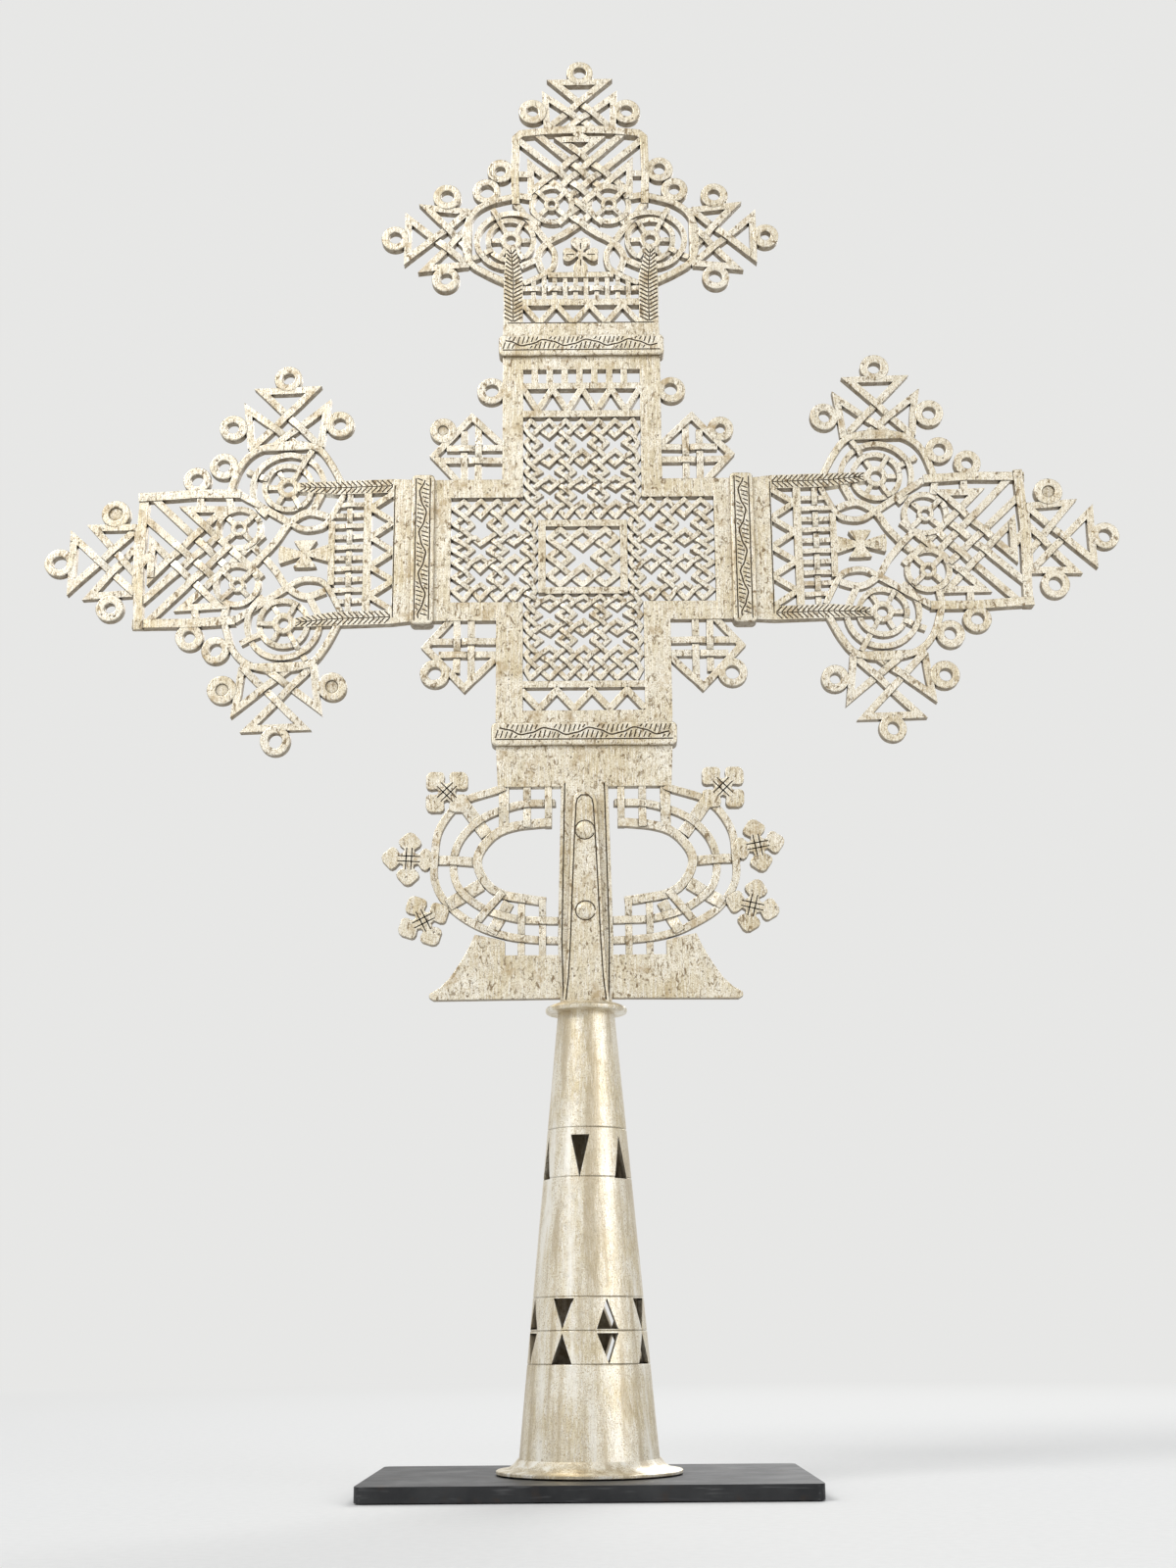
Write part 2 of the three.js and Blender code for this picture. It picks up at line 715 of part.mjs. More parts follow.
// A small cross at the edge of the lower frame, its foot on the outer band.
function terminal([x, z], degrees) {
  const arm = [[-1, -terminalNeck], [terminalArm, -terminalHalf], [terminalArm, terminalHalf], [-1, terminalNeck]];
  return [0, 90, 180, 270].map((turn) => {
    const angle = ((degrees + turn) * Math.PI) / 180;
    const [c, s] = [Math.cos(angle), Math.sin(angle)];
    return shapeOf(arm.map(([u, v]) => [x + u * c - v * s, z + u * s + v * c]));
  });
}

// Half of one oval band: out along the top, round the end and back to the stem.
function ovalBand(k, from, to) {
  const reach = ovalReach - k * ovalReachStep;
  const high = ovalHalfHeight - k * ovalHeightStep;
  const points = [[from, ovalUp + high]];
  for (let i = 0; i <= ovalSteps; i += 1) {
    const angle = Math.PI / 2 - (Math.PI * i) / ovalSteps;
    const [c, s] = [Math.cos(angle), Math.sin(angle)];
    points.push([ovalStart + reach * Math.abs(c) ** 0.85, ovalUp + high * Math.sign(s) * Math.abs(s) ** 0.85]);
  }
  points.push([to, ovalUp - high]);
  return points;
}

// Lower frame: stem and tang, plate, two half ovals of three bands, foot wings and small crosses.
function lowerShape() {
  const top = lowerHeight - joinFit / 2;
  const plateFoot = lowerHeight - lowerPlateHeight;
  const slotOuter = stemHalf + slotWidth;
  const endBar = slotOuter + ovalStrap / 2;
  const wingTop = wingRise + wingHeight;
  const innerTop = ovalUp + ovalHalfHeight - 2 * ovalHeightStep;
  const innerFoot = ovalUp - ovalHalfHeight + 2 * ovalHeightStep;
  const shapes = [
    shapeOf([[-lowerPlateFootHalf, plateFoot], [lowerPlateFootHalf, plateFoot],
      [uprightHalfFoot, top], [-uprightHalfFoot, top]]),
    shapeOf([[-tangHalf, -tangLength], [tangHalf, -tangLength], [tangHalf, 0], [stemFootHalf - 0.8, 0],
      [stemFootHalf, wingTop], [stemHalf, plateFoot + 1], [-stemHalf, plateFoot + 1],
      [-stemFootHalf, wingTop], [0.8 - stemFootHalf, 0], [-tangHalf, 0]]),
  ];
  const bow = ([x, up]) => [x, ovalUp + up];
  shapes.push(...bothSides((side) => [
    ...strap(side(ovalBand(0, lowerPlateFootHalf - 3, stemHalf)), ovalStrap),
    ...strap(side(ovalBand(1, slotOuter, stemHalf)), ovalStrap),
    ...strap(side(ovalBand(2, slotOuter, slotOuter + 1)), ovalStrap + 0.4),
    ...[0, 1, 2].flatMap((i) => [
      ...strap(side([[endBar + i * crossbarPitch, innerTop], [endBar + i * crossbarPitch, plateFoot + 1]]), ovalStrap),
      ...strap(side([[endBar + 1 + i * crossbarPitch, wingTop], [endBar + 1 + i * crossbarPitch, innerFoot + i * 0.8]]),
        ovalStrap),
    ]),
    ...radialBars.flatMap((ends) => strap(side(ends.map(bow)), radialWidth)),
    shapeOf(side([[stemFootHalf - 1, wingRise], [wingHalf - 1.6, wingRise - 0.2], [wingHalf, wingRise + 2.2],
      [wingTopHalf + 2, wingTop + 1], [wingTopHalf, wingTop + 2.6], [ovalStart + 5, wingTop + 1.6],
      [stemFootHalf - 1, wingTop + 1.4]])),
    ...terminalPlaces.flatMap(([x, up, degrees]) => {
      const [place] = side([bow([x, up])]);
      return terminal(place, place[0] > 0 ? degrees : 180 - degrees);
    }),
  ]));
  const holes = [];
  for (const sign of [-1, 1]) {
    for (let i = 0; i < 3; i += 1) {
      const x = sign * (endBar + 0.9 - crossbarPitch / 2 + ovalStrap / 2 + i * crossbarPitch + 2.2);
      holes.push(rectangle(x - wingHole / 2, wingTop - wingHole, x + wingHole / 2, wingTop));
    }
  }
  const shape = merge(shapes, holes);
  shape.holes.push(...rivetHoles());
  return shape;
}

function rectangle(x0, y0, x1, y1) {
  return shapeOf([[x0, y0], [x1, y0], [x1, y1], [x0, y1]]);
}

// A block of plait: a diamond gap in each cell, and a star where the plait turns back.
function plaitBlock(x0, z0, x1, z1, columns, rows, strand = latticeStrand) {
  const [dx, dz] = [(x1 - x0) / columns, (z1 - z0) / rows];
  const [hx, hz] = [dx / 2 - strand * 0.7, dz / 2 - strand * 0.7];
  const gaps = [];
  for (let i = 0; i < columns; i += 1) {
    for (let j = 0; j < rows; j += 1) {
      const [x, z] = [x0 + dx * (i + 0.5), z0 + dz * (j + 0.5)];
      const turnsBack = i % 2 === 1 && j % 2 === 1;
      gaps.push(turnsBack
        ? star(x, z, (dx + hx) / 2, (dz + hz) / 2, Math.min(hx, hz))
        : shapeOf([[x - hx, z], [x, z - hz], [x + hx, z], [x, z + hz]]));
    }
  }
  return gaps;
}

// One of the four plaited brackets in the corners of the centre panel, with its ring.
function bracket(cornerX, cornerZ, sx, sz) {
  const at = ([x, z]) => [sx * (cornerX + x), sz * (cornerZ + z)];
  const line = (points) => strap(points.map(at), strapWidth);
  const [near, far, foot] = [bracketNear, bracketFar, bracketFoot];
  const bar = (k) => bracketBarNear + k * bracketBarStep;
  return [
    ...line([[foot, -1], [far, near - 1.5], [near, far], [-1, foot - 3]]),
    ...[0, 1].flatMap((k) => [
      ...line([[bar(k), -1], [bar(k), far - 1.2 - k * 3]]),
      ...line([[-1, bar(k)], [far - 1.2 - k * 3, bar(k)]]),
    ]),
    ...ring(at([(near + far) / 2 + 3.6, (near + far) / 2 + 2.4]), ringRadius, ringBore, ringSides, boreSides),
  ];
}

// Centre panel, drawn from the middle of the crossing.
function panelShape() {
  const top = highJointZ - centreZ - joinFit / 2;
  const foot = lowJointZ - centreZ + joinFit / 2;
  const side = panelReach - joinFit / 2;
  const outline = shapeOf([
    [-uprightHalfFoot, foot], [uprightHalfFoot, foot], [uprightHalfFoot, -crossbarHalf],
    [side, -crossbarHalf], [side, crossbarHalf], [uprightHalfTop, crossbarHalf],
    [uprightHalfTop, top], [-uprightHalfTop, top], [-uprightHalfTop, crossbarHalf],
    [-side, crossbarHalf], [-side, -crossbarHalf], [-uprightHalfFoot, -crossbarHalf],
  ]);
  const zigzagFoot = latticeUp + panelBar;
  const zigzagTop = zigzagFoot + panelZigzag;
  const lowZigzagTop = -latticeDown - panelBar;
  const lowZigzagFoot = lowZigzagTop - panelZigzag;
  outline.holes.push(rectangle(-latticeHalf, zigzagFoot, latticeHalf, zigzagTop));
  outline.holes.push(rectangle(-latticeHalf, lowZigzagFoot, latticeHalf, lowZigzagTop));
  const ringAt = (x, z) => ring([x, z], ringRadius, ringBore, ringSides, boreSides);
  const shape = merge([
    outline,
    ...strap(zigzag(-latticeHalf, latticeHalf, zigzagFoot, zigzagTop, panelZigzagTurns), 2.2),
    ...strap(zigzag(-latticeHalf, latticeHalf, lowZigzagTop, lowZigzagFoot, panelZigzagTurns), 2.4),
    ...bracket(uprightHalfTop, crossbarHalf, -1, 1),
    ...bracket(uprightHalfTop, crossbarHalf, 1, 1),
    ...bracket(uprightHalfFoot, crossbarHalf, -1, -1),
    ...bracket(uprightHalfFoot, crossbarHalf, 1, -1),
    ...ringAt(-uprightHalfTop - ringRadius + ringSeat, zigzagTop),
    ...ringAt(uprightHalfTop + ringRadius - ringSeat, zigzagTop),
  ]);
  const slotFoot = zigzagTop + panelBar;
  const pitch = (2 * latticeHalf + slotBar) / slotCount;
  for (let i = 0; i < slotCount; i += 1) {
    const x = -latticeHalf + i * pitch;
    shape.holes.push(rectangle(x, slotFoot, x + pitch - slotBar, slotFoot + slotHeight));
  }
  const clear = squareHalf + 0.4;
  shape.holes.push(
    ...plaitBlock(-latticeHalf, clear, latticeHalf, latticeUp, latticeColumns, latticeRows),
    ...plaitBlock(-latticeHalf, -latticeDown, latticeHalf, -clear, latticeColumns, latticeRows),
    ...plaitBlock(-crossbarLatticeReach, -crossbarLatticeHalf + 2, -clear - 0.3, crossbarLatticeHalf - 2,
      crossbarColumns, crossbarRows),
    ...plaitBlock(clear + 0.3, -crossbarLatticeHalf + 2, crossbarLatticeReach, crossbarLatticeHalf - 2,
      crossbarColumns, crossbarRows),
    ...squareGaps(),
  );
  return shape;
}

// The framed square in the middle: a knot of three by three cells.
function squareGaps() {
  const reach = 1.5 * squareStep;
  const gaps = plaitBlock(-reach, -reach, reach, reach, 3, 3, squareStep / 2 - squareHole + 0.7);
  const inner = squareHalf - squareBar;
  for (const sign of [-1, 1]) {
    for (const x of [-squareStep / 2, squareStep / 2]) {
      gaps.push(shapeOf([[x - 2.4, sign * inner], [x, sign * (inner - 2.6)], [x + 2.4, sign * inner]]));
      gaps.push(shapeOf([[sign * inner, x - 2.4], [sign * (inner - 2.6), x], [sign * inner, x + 2.4]]));
    }
  }
  return gaps;
}

// A sleeve over a joint: a flat collar with a ridge along each edge.
function sleeveGeometry(plateHalf) {
  const inner = [plateHalf + joinFit, half + joinFit];
  const wall = (rise) => {
    const [x, y] = [inner[0] + bandWall + rise, inner[1] + bandWall + rise];
    const shape = rectangle(-x, -y, x, y);
    shape.holes.push(rectangle(-inner[0], -inner[1], inner[0], inner[1]));
    return shape;
  };
  const field = prism(wall(0), bandWidth).translate(0, 0, -bandWidth / 2);
  const low = prism(wall(bandRidgeRise), bandRidge).translate(0, 0, -bandWidth / 2);
  const high = prism(wall(bandRidgeRise), bandRidge).translate(0, 0, bandWidth / 2 - bandRidge);
  return geometryOf(joined([field, low, high].map(solidOf)));
}

// Stand.
add('base_plate', standGeometry(), steel);
add('stand_plug', plugGeometry(), steel);
add('plug_screw', screwGeometry(), steel);

// Socket and neck.
add('socket_cone', socketGeometry(), brass);
add('foot_flange', flangeGeometry(), brass);
add('neck_collar', collarGeometry(), brass);
const clampOffset = half + clampThick / 2;
add('front_strap', casting(clampShape(), clampThick).translate(0, -clampOffset, neckZ), brass);
add('back_strap', casting(clampShape(), clampThick).translate(0, clampOffset, neckZ), brass);
add('rivet_lower', rivetGeometry(lowRivetUp), brass);
add('rivet_upper', rivetGeometry(highRivetUp), brass);

// Castings of the cross.
add('lower_frame', casting(lowerShape()), brass).position.z = neckZ;
add('centre_panel', casting(panelShape()), brass).position.z = centreZ;

// The base line of every arm lies on its band's outer edge.
function addArm(name, rootHalf, stretch, lean) {
  return add(name, casting(armOutline(rootHalf, stretch, lean)), brass);
}

const armRoot = bandWidth / 2;
addArm('upper_arm', uprightHalfTop, topArmStretch, 0).position.z = highJointZ + armRoot;
const rightArm = addArm('right_arm', crossbarHalf, 1, sideArmLean);
rightArm.position.set(panelReach + armRoot, 0, centreZ);
rightArm.rotation.y = Math.PI / 2;
const leftArm = addArm('left_arm', crossbarHalf, 1, sideArmLean);
leftArm.position.set(-panelReach - armRoot, 0, centreZ);
leftArm.rotation.y = -Math.PI / 2;

// Sleeves on the four joints.
add('band_top', sleeveGeometry(uprightHalfTop), brass).position.z = highJointZ;
add('band_bottom', sleeveGeometry(uprightHalfFoot), brass).position.z = lowJointZ;
const rightBand = add('band_right', sleeveGeometry(crossbarHalf), brass);
rightBand.position.set(panelReach, 0, centreZ);
rightBand.rotation.y = Math.PI / 2;
const leftBand = add('band_left', sleeveGeometry(crossbarHalf), brass);
leftBand.position.set(-panelReach, 0, centreZ);
leftBand.rotation.y = -Math.PI / 2;

export default part;
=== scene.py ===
import itertools
import math

import bmesh
import bpy
from mathutils import Euler, Matrix, Vector, noise


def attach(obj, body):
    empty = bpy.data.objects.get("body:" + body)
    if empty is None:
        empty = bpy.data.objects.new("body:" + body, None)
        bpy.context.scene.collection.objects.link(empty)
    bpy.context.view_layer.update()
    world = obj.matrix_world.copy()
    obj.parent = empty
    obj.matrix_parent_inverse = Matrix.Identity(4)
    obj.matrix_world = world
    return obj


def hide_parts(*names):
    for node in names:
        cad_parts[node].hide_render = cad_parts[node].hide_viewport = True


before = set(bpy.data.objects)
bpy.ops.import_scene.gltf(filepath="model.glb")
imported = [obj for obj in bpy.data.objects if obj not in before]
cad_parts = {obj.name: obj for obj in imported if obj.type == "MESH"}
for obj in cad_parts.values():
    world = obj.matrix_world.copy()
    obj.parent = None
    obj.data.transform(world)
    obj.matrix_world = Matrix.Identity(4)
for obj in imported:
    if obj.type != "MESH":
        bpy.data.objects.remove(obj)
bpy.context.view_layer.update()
bpy.ops.object.select_all(action="DESELECT")

# Lengths are in millimetres and become metres where a shape is laid.
MM = 0.001

# Heights above the floor: the socket's mouth, both faces of the neck collar, the middles of the
# bands and of the side arms, and the rivets.
FOOT = 5.3
COLLAR = 163.0
NECK = 166.2
LOW_JOINT = 268.9
CENTRE = 344.4
HIGH_JOINT = 431.6
LOW_RIVET, HIGH_RIVET = 200.5, 231.0

# Thickness of the layers of a casting, and the rounding of their edges.
PLATE = 4.0
WOVEN = 3.4
RIM = 3.8
EDGE = 0.2

# Width of most straps, how far they rise at a crossing, how far a rise goes on past what it
# crosses, the share of the way to the next crossing that it may take, and the slope at its ends.
STRAP = 2.7
RISE = 0.3
LAP = 0.25
LAP_SHARE = 0.32
SLOPE = 1.6

# Crossings nearer than SAME count as one, a strap that meets itself sooner than BEND only turns
# there, and crossings nearer than LINK don't take turns over and under.
SAME = 0.6
BEND = 3
LINK = 0.9

# Longest and shortest stretch of a strap between its stations.
STRETCH = 4.5
NEAR = 0.3

# Width of most engraved lines, and depth of their cutter, which stands half in the metal.
LINE = 0.5
CUTTER = 0.5

TINY = 1e-6

# A hair's breadth for each shape in turn, so that no two overlapping faces share a plane.
hairs = itertools.cycle([0.011 * (n * 5 % 11 - 5) for n in range(1, 12)])


# Workbench

def pick(*pieces):
    """Selects these pieces alone, with the first one active."""
    bpy.ops.object.select_all(action="DESELECT")
    for piece in pieces:
        piece.select_set(True)
    bpy.context.view_layer.objects.active = pieces[0]


def start_piece(name):
    """A small square with the piece's name, in edit mode and selected all over."""
    bpy.ops.object.select_all(action="DESELECT")
    bpy.ops.mesh.primitive_plane_add(size=MM)
    piece = bpy.context.object
    piece.name = piece.data.name = name
    bpy.ops.object.mode_set(mode="EDIT")
    bpy.ops.mesh.select_all(action="SELECT")
    return piece


def open_sheet(name):
    """An empty piece in edit mode, ready for flat shapes."""
    piece = start_piece(name)
    bpy.ops.mesh.delete(type="VERT")
    return piece


def work(piece, kind, **settings):
    """Gives the active piece a modifier with these settings and applies it."""
    step = piece.modifiers.new(kind, kind)
    for key, value in settings.items():
        setattr(step, key, value)
    bpy.ops.object.modifier_apply(modifier=step.name)


def round_edges(piece, width, steps):
    work(piece, "BEVEL", width=width * MM, segments=steps, limit_method="ANGLE",
         angle_limit=math.radians(50))


def mark(piece, name, values):
    """Writes one number for each corner, which the finish reads."""
    marks = piece.data.attributes.new(name, "FLOAT", "POINT")
    marks.data.foreach_set("value", values)


def close_sheet(piece, thick, edge=0.0, steps=2, rubbed=0.0):
    """Gives the flat shapes their thickness, rounds their edges and says how rubbed they are."""
    bpy.ops.object.mode_set(mode="OBJECT")
    mark(piece, "rubbed", [rubbed] * len(piece.data.vertices))
    work(piece, "SOLIDIFY", thickness=thick * MM, offset=0)
    if edge:
        round_edges(piece, edge, steps)
    return piece


def lay(key, spots):
    """Moves the corners of the shape just added, taken in a known order, to their places."""
    mesh = bmesh.from_edit_mesh(bpy.context.object.data)
    corners = sorted((v for v in mesh.verts if v.select), key=key)
    for corner, (x, level, z) in zip(corners, spots):
        corner.co = Vector((x, level, z)) * MM
    bmesh.update_edit_mesh(bpy.context.object.data)


def along(corner):
    """The order of a new grid's corners: from end to end, the two of each station together."""
    return round(corner.co.x, 5), corner.co.y


def around(corner):
    """The order of a new circle's corners; a full turn counts as none."""
    return round(math.atan2(corner.co.y, corner.co.x) % (2 * math.pi), 4) % 6.2831


def span(a, b):
    return math.hypot(b[0] - a[0], b[1] - a[1])


def sides(points, width, closed):
    """Half-width offsets square to a path, mitred at its corners."""
    count = len(points)
    result = []
    for i, here in enumerate(points):
        if closed:
            before, after = points[i - 1], points[(i + 1) % count]
        else:
            before, after = points[max(i - 1, 0)], points[min(i + 1, count - 1)]
        into = Vector((here[0] - before[0], here[1] - before[1]))
        out = Vector((after[0] - here[0], after[1] - here[1]))
        if into.length < TINY:
            into = out
        if out.length < TINY:
            out = into
        into.normalize()
        out.normalize()
        course = into + out
        if course.length < TINY:
            course = Vector((-into.y, into.x))
        course.normalize()
        # A sharp corner's mitre is cut off at three times the half-width.
        reach = width / 2 / max(0.33, course.dot(into))
        result.append((-course.y * reach, course.x * reach))
    return result


def ribbon(path, width, closed=False):
    """A flat strap along a path of x, z and level."""
    across = sides(path, width, closed)
    if closed:
        path, across = path + path[:1], across + across[:1]
    bpy.ops.mesh.primitive_grid_add(x_subdivisions=len(path) - 1, y_subdivisions=1, size=2)
    spots = []
    hair = next(hairs)
    for (x, z, level), (dx, dz) in zip(path, across):
        spots += [(x - dx, level + hair, z - dz), (x + dx, level + hair, z + dz)]
    lay(along, spots)
    if closed:
        bpy.ops.mesh.remove_doubles(threshold=1e-7)


def patch(outline, level=0.0):
    """A flat plate with the given outline."""
    bpy.ops.mesh.primitive_circle_add(vertices=len(outline), radius=1, fill_type="NGON")
    hair = next(hairs)
    lay(around, [(x, level + hair, z) for x, z in outline])


def washer(x, z, outer, inner, steps, uneven):
    """A flat ring, slightly out of round as filed by hand."""
    bpy.ops.mesh.primitive_grid_add(x_subdivisions=steps, y_subdivisions=1, size=2)
    spots = []
    for i in range(steps + 1):
        turn = 2 * math.pi * (i % steps) / steps
        c, s = math.cos(turn), math.sin(turn)
        seed = Vector((x + 4 * c, z + 4 * s, 3.7)) * 0.09
        drift = uneven * noise.noise(seed)
        swell = uneven * noise.noise(seed + Vector((9, 4, 2)))
        for radius in (inner - swell + drift, outer + drift):
            spots.append((x + radius * c, 0.0, z + radius * s))
    lay(along, spots)
    bpy.ops.mesh.remove_doubles(threshold=1e-7)


def curved(points, step=1.4):
    """A smooth line through the given points."""
    result = []
    last = len(points) - 1
    for i in range(last):
        p0 = points[max(i - 1, 0)]
        p1, p2 = points[i], points[i + 1]
        p3 = points[min(i + 2, last)]
        count = max(2, round(span(p1, p2) / step))
        for k in range(count):
            t = k / count
            result.append(tuple(
                0.5 * (2 * b + (c - a) * t + (2 * a - 5 * b + 4 * c - d) * t * t
                       + (3 * b - a - 3 * c + d) * t ** 3)
                for a, b, c, d in zip(p0, p1, p2, p3)))
    result.append(tuple(points[-1]))
    return result


def polar(x, z, radius, degrees):
    turn = math.radians(degrees)
    return x + radius * math.cos(turn), z + radius * math.sin(turn)


def round_line(x, z, radius, start, end, steps):
    return [polar(x, z, radius, start + (end - start) * i / steps) for i in range(steps + 1)]


def spokes(x, z, inner, outer, width, count, start):
    """Short straps between a hub and its rim."""
    turns = [start + 360 // count * k for k in range(count)]
    return [([polar(x, z, inner, turn), polar(x, z, outer, turn)], width) for turn in turns]


def zigzag(from_x, to_x, first, second, turns):
    return [(from_x + (to_x - from_x) * i / turns, second if i % 2 else first)
            for i in range(turns + 1)]


def mirrored(points):
    return [(-x, z) for x, z in points]


# Weaving

def meeting(a, b, c, d):
    """Where the stretch a-b crosses c-d, as a share of each."""
    r = (b[0] - a[0], b[1] - a[1])
    s = (d[0] - c[0], d[1] - c[1])
    turn = r[0] * s[1] - r[1] * s[0]
    if abs(turn) < TINY:
        return None
    t = ((c[0] - a[0]) * s[1] - (c[1] - a[1]) * s[0]) / turn
    u = ((c[0] - a[0]) * r[1] - (c[1] - a[1]) * r[0]) / turn
    if -0.001 < t < 1.001 and -0.001 < u < 1.001:
        return t, u
    return None


def crossings(lines, runs):
    """Every crossing as (line, distance along it, other line, distance along that)."""
    found = []
    for i, (p, _) in enumerate(lines):
        for j in range(i, len(lines)):
            q = lines[j][0]
            for k in range(len(p) - 1):
                for m in range(k + 2 if i == j else 0, len(q) - 1):
                    hit = meeting(p[k], p[k + 1], q[m], q[m + 1])
                    if not hit:
                        continue
                    s = runs[i][k] + hit[0] * (runs[i][k + 1] - runs[i][k])
                    t = runs[j][m] + hit[1] * (runs[j][m + 1] - runs[j][m])
                    touches_itself = i == j and abs(s - t) < BEND
                    known = any(f[0] == i and f[2] == j and abs(f[1] - s) < SAME
                                and abs(f[3] - t) < SAME for f in found)
                    if not touches_itself and not known:
                        found.append((i, s, j, t))
    return found


def over_or_under(links):
    """Which strap lies over at each crossing, so that every strap goes over and under in turn."""
    state = [0] * len(links)
    for start in range(len(links)):
        if state[start]:
            continue
        state[start] = 1
        queue = [start]
        while queue:
            here = queue.pop(0)
            for there, flip in links[here]:
                if not state[there]:
                    state[there] = state[here] * flip
                    queue.append(there)
    return state


def profile_of(row, total, width, rise):
    """A strap's level along its length, from its crossings as (distance, 1 or -1)."""
    profile = [(-1.0, 0.0)]
    for k, (s, up) in enumerate(row):
        gap_before = s - row[k - 1][0] if k else math.inf
        gap_after = row[k + 1][0] - s if k + 1 < len(row) else math.inf
        start = s - min(width / 2 + LAP, gap_before * LAP_SHARE)
        end = s + min(width / 2 + LAP, gap_after * LAP_SHARE)
        if k == 0:
            profile.append((start - SLOPE, 0.0))
        profile += [(start, -up * rise), (end, -up * rise)]
        if k + 1 == len(row):
            profile.append((end + SLOPE, 0.0))
    profile.append((total + 1.0, 0.0))
    return sorted(profile)


def level_at(profile, s):
    for (a, low), (b, high) in zip(profile, profile[1:]):
        if a <= s <= b:
            return low if b - a < TINY else low + (high - low) * (s - a) / (b - a)
    return 0.0


def strap_path(points, run, profile, width, wobble, seed):
    """A strap's stations: its corners, where it rises or dips, and some along its stretches."""
    stations = []
    blocked = []
    for i, s in enumerate(run):
        turn = 0.0
        if 0 < i < len(points) - 1:
            (x0, z0), (x1, z1), (x2, z2) = points[i - 1:i + 2]
            into = math.atan2(z1 - z0, x1 - x0)
            out = math.atan2(z2 - z1, x2 - x1)
            turn = abs((out - into + math.pi) % (2 * math.pi) - math.pi)
        stations.append((s, points[i]))
        blocked.append((s, width / 2 * math.tan(min(turn, 2.5) / 2) + 0.2))
    extra = [s for s, _ in profile if 0 < s < run[-1]]
    for a, b in zip(run, run[1:]):
        parts = int((b - a) / STRETCH)
        extra += [a + (b - a) * (k + 1) / (parts + 1) for k in range(parts)]
    kept = []
    for s in sorted(extra):
        clear = all(abs(s - corner) > reach for corner, reach in blocked)
        if clear and (not kept or s - kept[-1] > NEAR):
            kept.append(s)
    for s in kept:
        i = max(k for k, start in enumerate(run) if start <= s)
        t = (s - run[i]) / (run[i + 1] - run[i])
        a, b = points[i], points[i + 1]
        stations.append((s, (a[0] + (b[0] - a[0]) * t, a[1] + (b[1] - a[1]) * t)))
    stations.sort(key=lambda entry: entry[0])
    path = []
    for s, (x, z) in stations:
        place = Vector((x * 0.09, z * 0.09, 1.3 * seed))
        path.append((x + wobble * noise.noise(place),
                     z + wobble * noise.noise(place + Vector((5, 5, 5))), level_at(profile, s)))
    return path


def weave(lines, rise=RISE, wobble=0.16):
    """Lays straps, each a line and its width, over one neighbour and under the next."""
    runs = [list(itertools.accumulate((span(a, b) for a, b in zip(points, points[1:])),
                                      initial=0.0)) for points, _ in lines]
    found = crossings(lines, runs)
    stops = [[] for _ in lines]
    for n, (i, s, j, t) in enumerate(found):
        stops[i].append((s, n, 1))
        stops[j].append((t, n, -1))
    links = [[] for _ in found]
    for row in stops:
        row.sort()
        for (s, n, a), (t, m, b) in zip(row, row[1:]):
            if n != m and t - s > LINK:
                links[n].append((m, -a * b))
                links[m].append((n, -a * b))
    state = over_or_under(links)
    for index, (points, width) in enumerate(lines):
        row = [(s, state[n] * sign) for s, n, sign in stops[index]]
        profile = profile_of(row, runs[index][-1], width, rise)
        ribbon(strap_path(points, runs[index], profile, width, wobble, index), width)


def flat(points, width):
    """One strap that lies level."""
    weave([(points, width)], 0.0, 0.12)


# Joining and cutting

def join(name, layers):
    """Puts the layers of a casting together as one piece."""
    pick(*layers)
    bpy.ops.object.join()
    piece = bpy.context.object
    piece.name = piece.data.name = name
    return piece


def wall_shade(piece):
    """Marks the walls of the openings, which get painted shade."""
    mark(piece, "wall_shade", [1 - min(1.0, max(0.0, (abs(v.normal.y) - 0.25) / 0.6))
                         for v in piece.data.vertices])


def shade(piece, degrees=14, even=False):
    """Smooths edges that turn by less than this; even also weighs the normals by face size."""
    pick(piece)
    bpy.ops.object.shade_smooth_by_angle(angle=math.radians(degrees))
    if even:
        work(piece, "WEIGHTED_NORMAL", keep_sharp=True)


def engrave(piece, cutter):
    """Cuts the cutter out of the piece; the cut faces keep the finish of the cutter."""
    pick(piece)
    work(piece, "BOOLEAN", operation="DIFFERENCE", solver="MANIFOLD", material_mode="TRANSFER",
         object=cutter)
    bpy.data.objects.remove(cutter, do_unlink=True)


def turned(name, profile, steps):
    """A piece turned about an upright axis from radius and height."""
    piece = start_piece(name)
    bpy.ops.mesh.merge(type="CENTER")
    here = Vector((0, 0, 0))
    for i, (r, z) in enumerate(profile):
        there = Vector((r, 0, z)) * MM
        if i == 0:
            bpy.ops.transform.translate(value=there - here)
        else:
            bpy.ops.mesh.extrude_vertices_move(TRANSFORM_OT_translate={"value": there - here})
        here = there
    bpy.ops.mesh.select_all(action="SELECT")
    bpy.ops.mesh.spin(steps=steps, angle=2 * math.pi, center=(0, 0, 0), axis=(0, 0, 1))
    bpy.ops.mesh.select_all(action="SELECT")
    bpy.ops.mesh.remove_doubles(threshold=1e-6)
    bpy.ops.mesh.normals_make_consistent(inside=False)
    bpy.ops.object.mode_set(mode="OBJECT")
    return piece


# Finishes

PALE = (0.72, 0.63, 0.44)
IVORY = (0.90, 0.85, 0.72)
WHITE_METAL = (0.95, 0.92, 0.84)
TAN = (0.50, 0.41, 0.27)
STAIN = (0.46, 0.35, 0.20)
FLECK = (0.26, 0.19, 0.11)
PIT = (0.10, 0.065, 0.035)
# The next two colours are painted shade: on the walls of the openings and in the corners.
WALL_SHADE = (0.17, 0.122, 0.068)
CORNER_SHADE = (0.05, 0.034, 0.02)

BACKDROP = (0.80, 0.80, 0.79, 1)

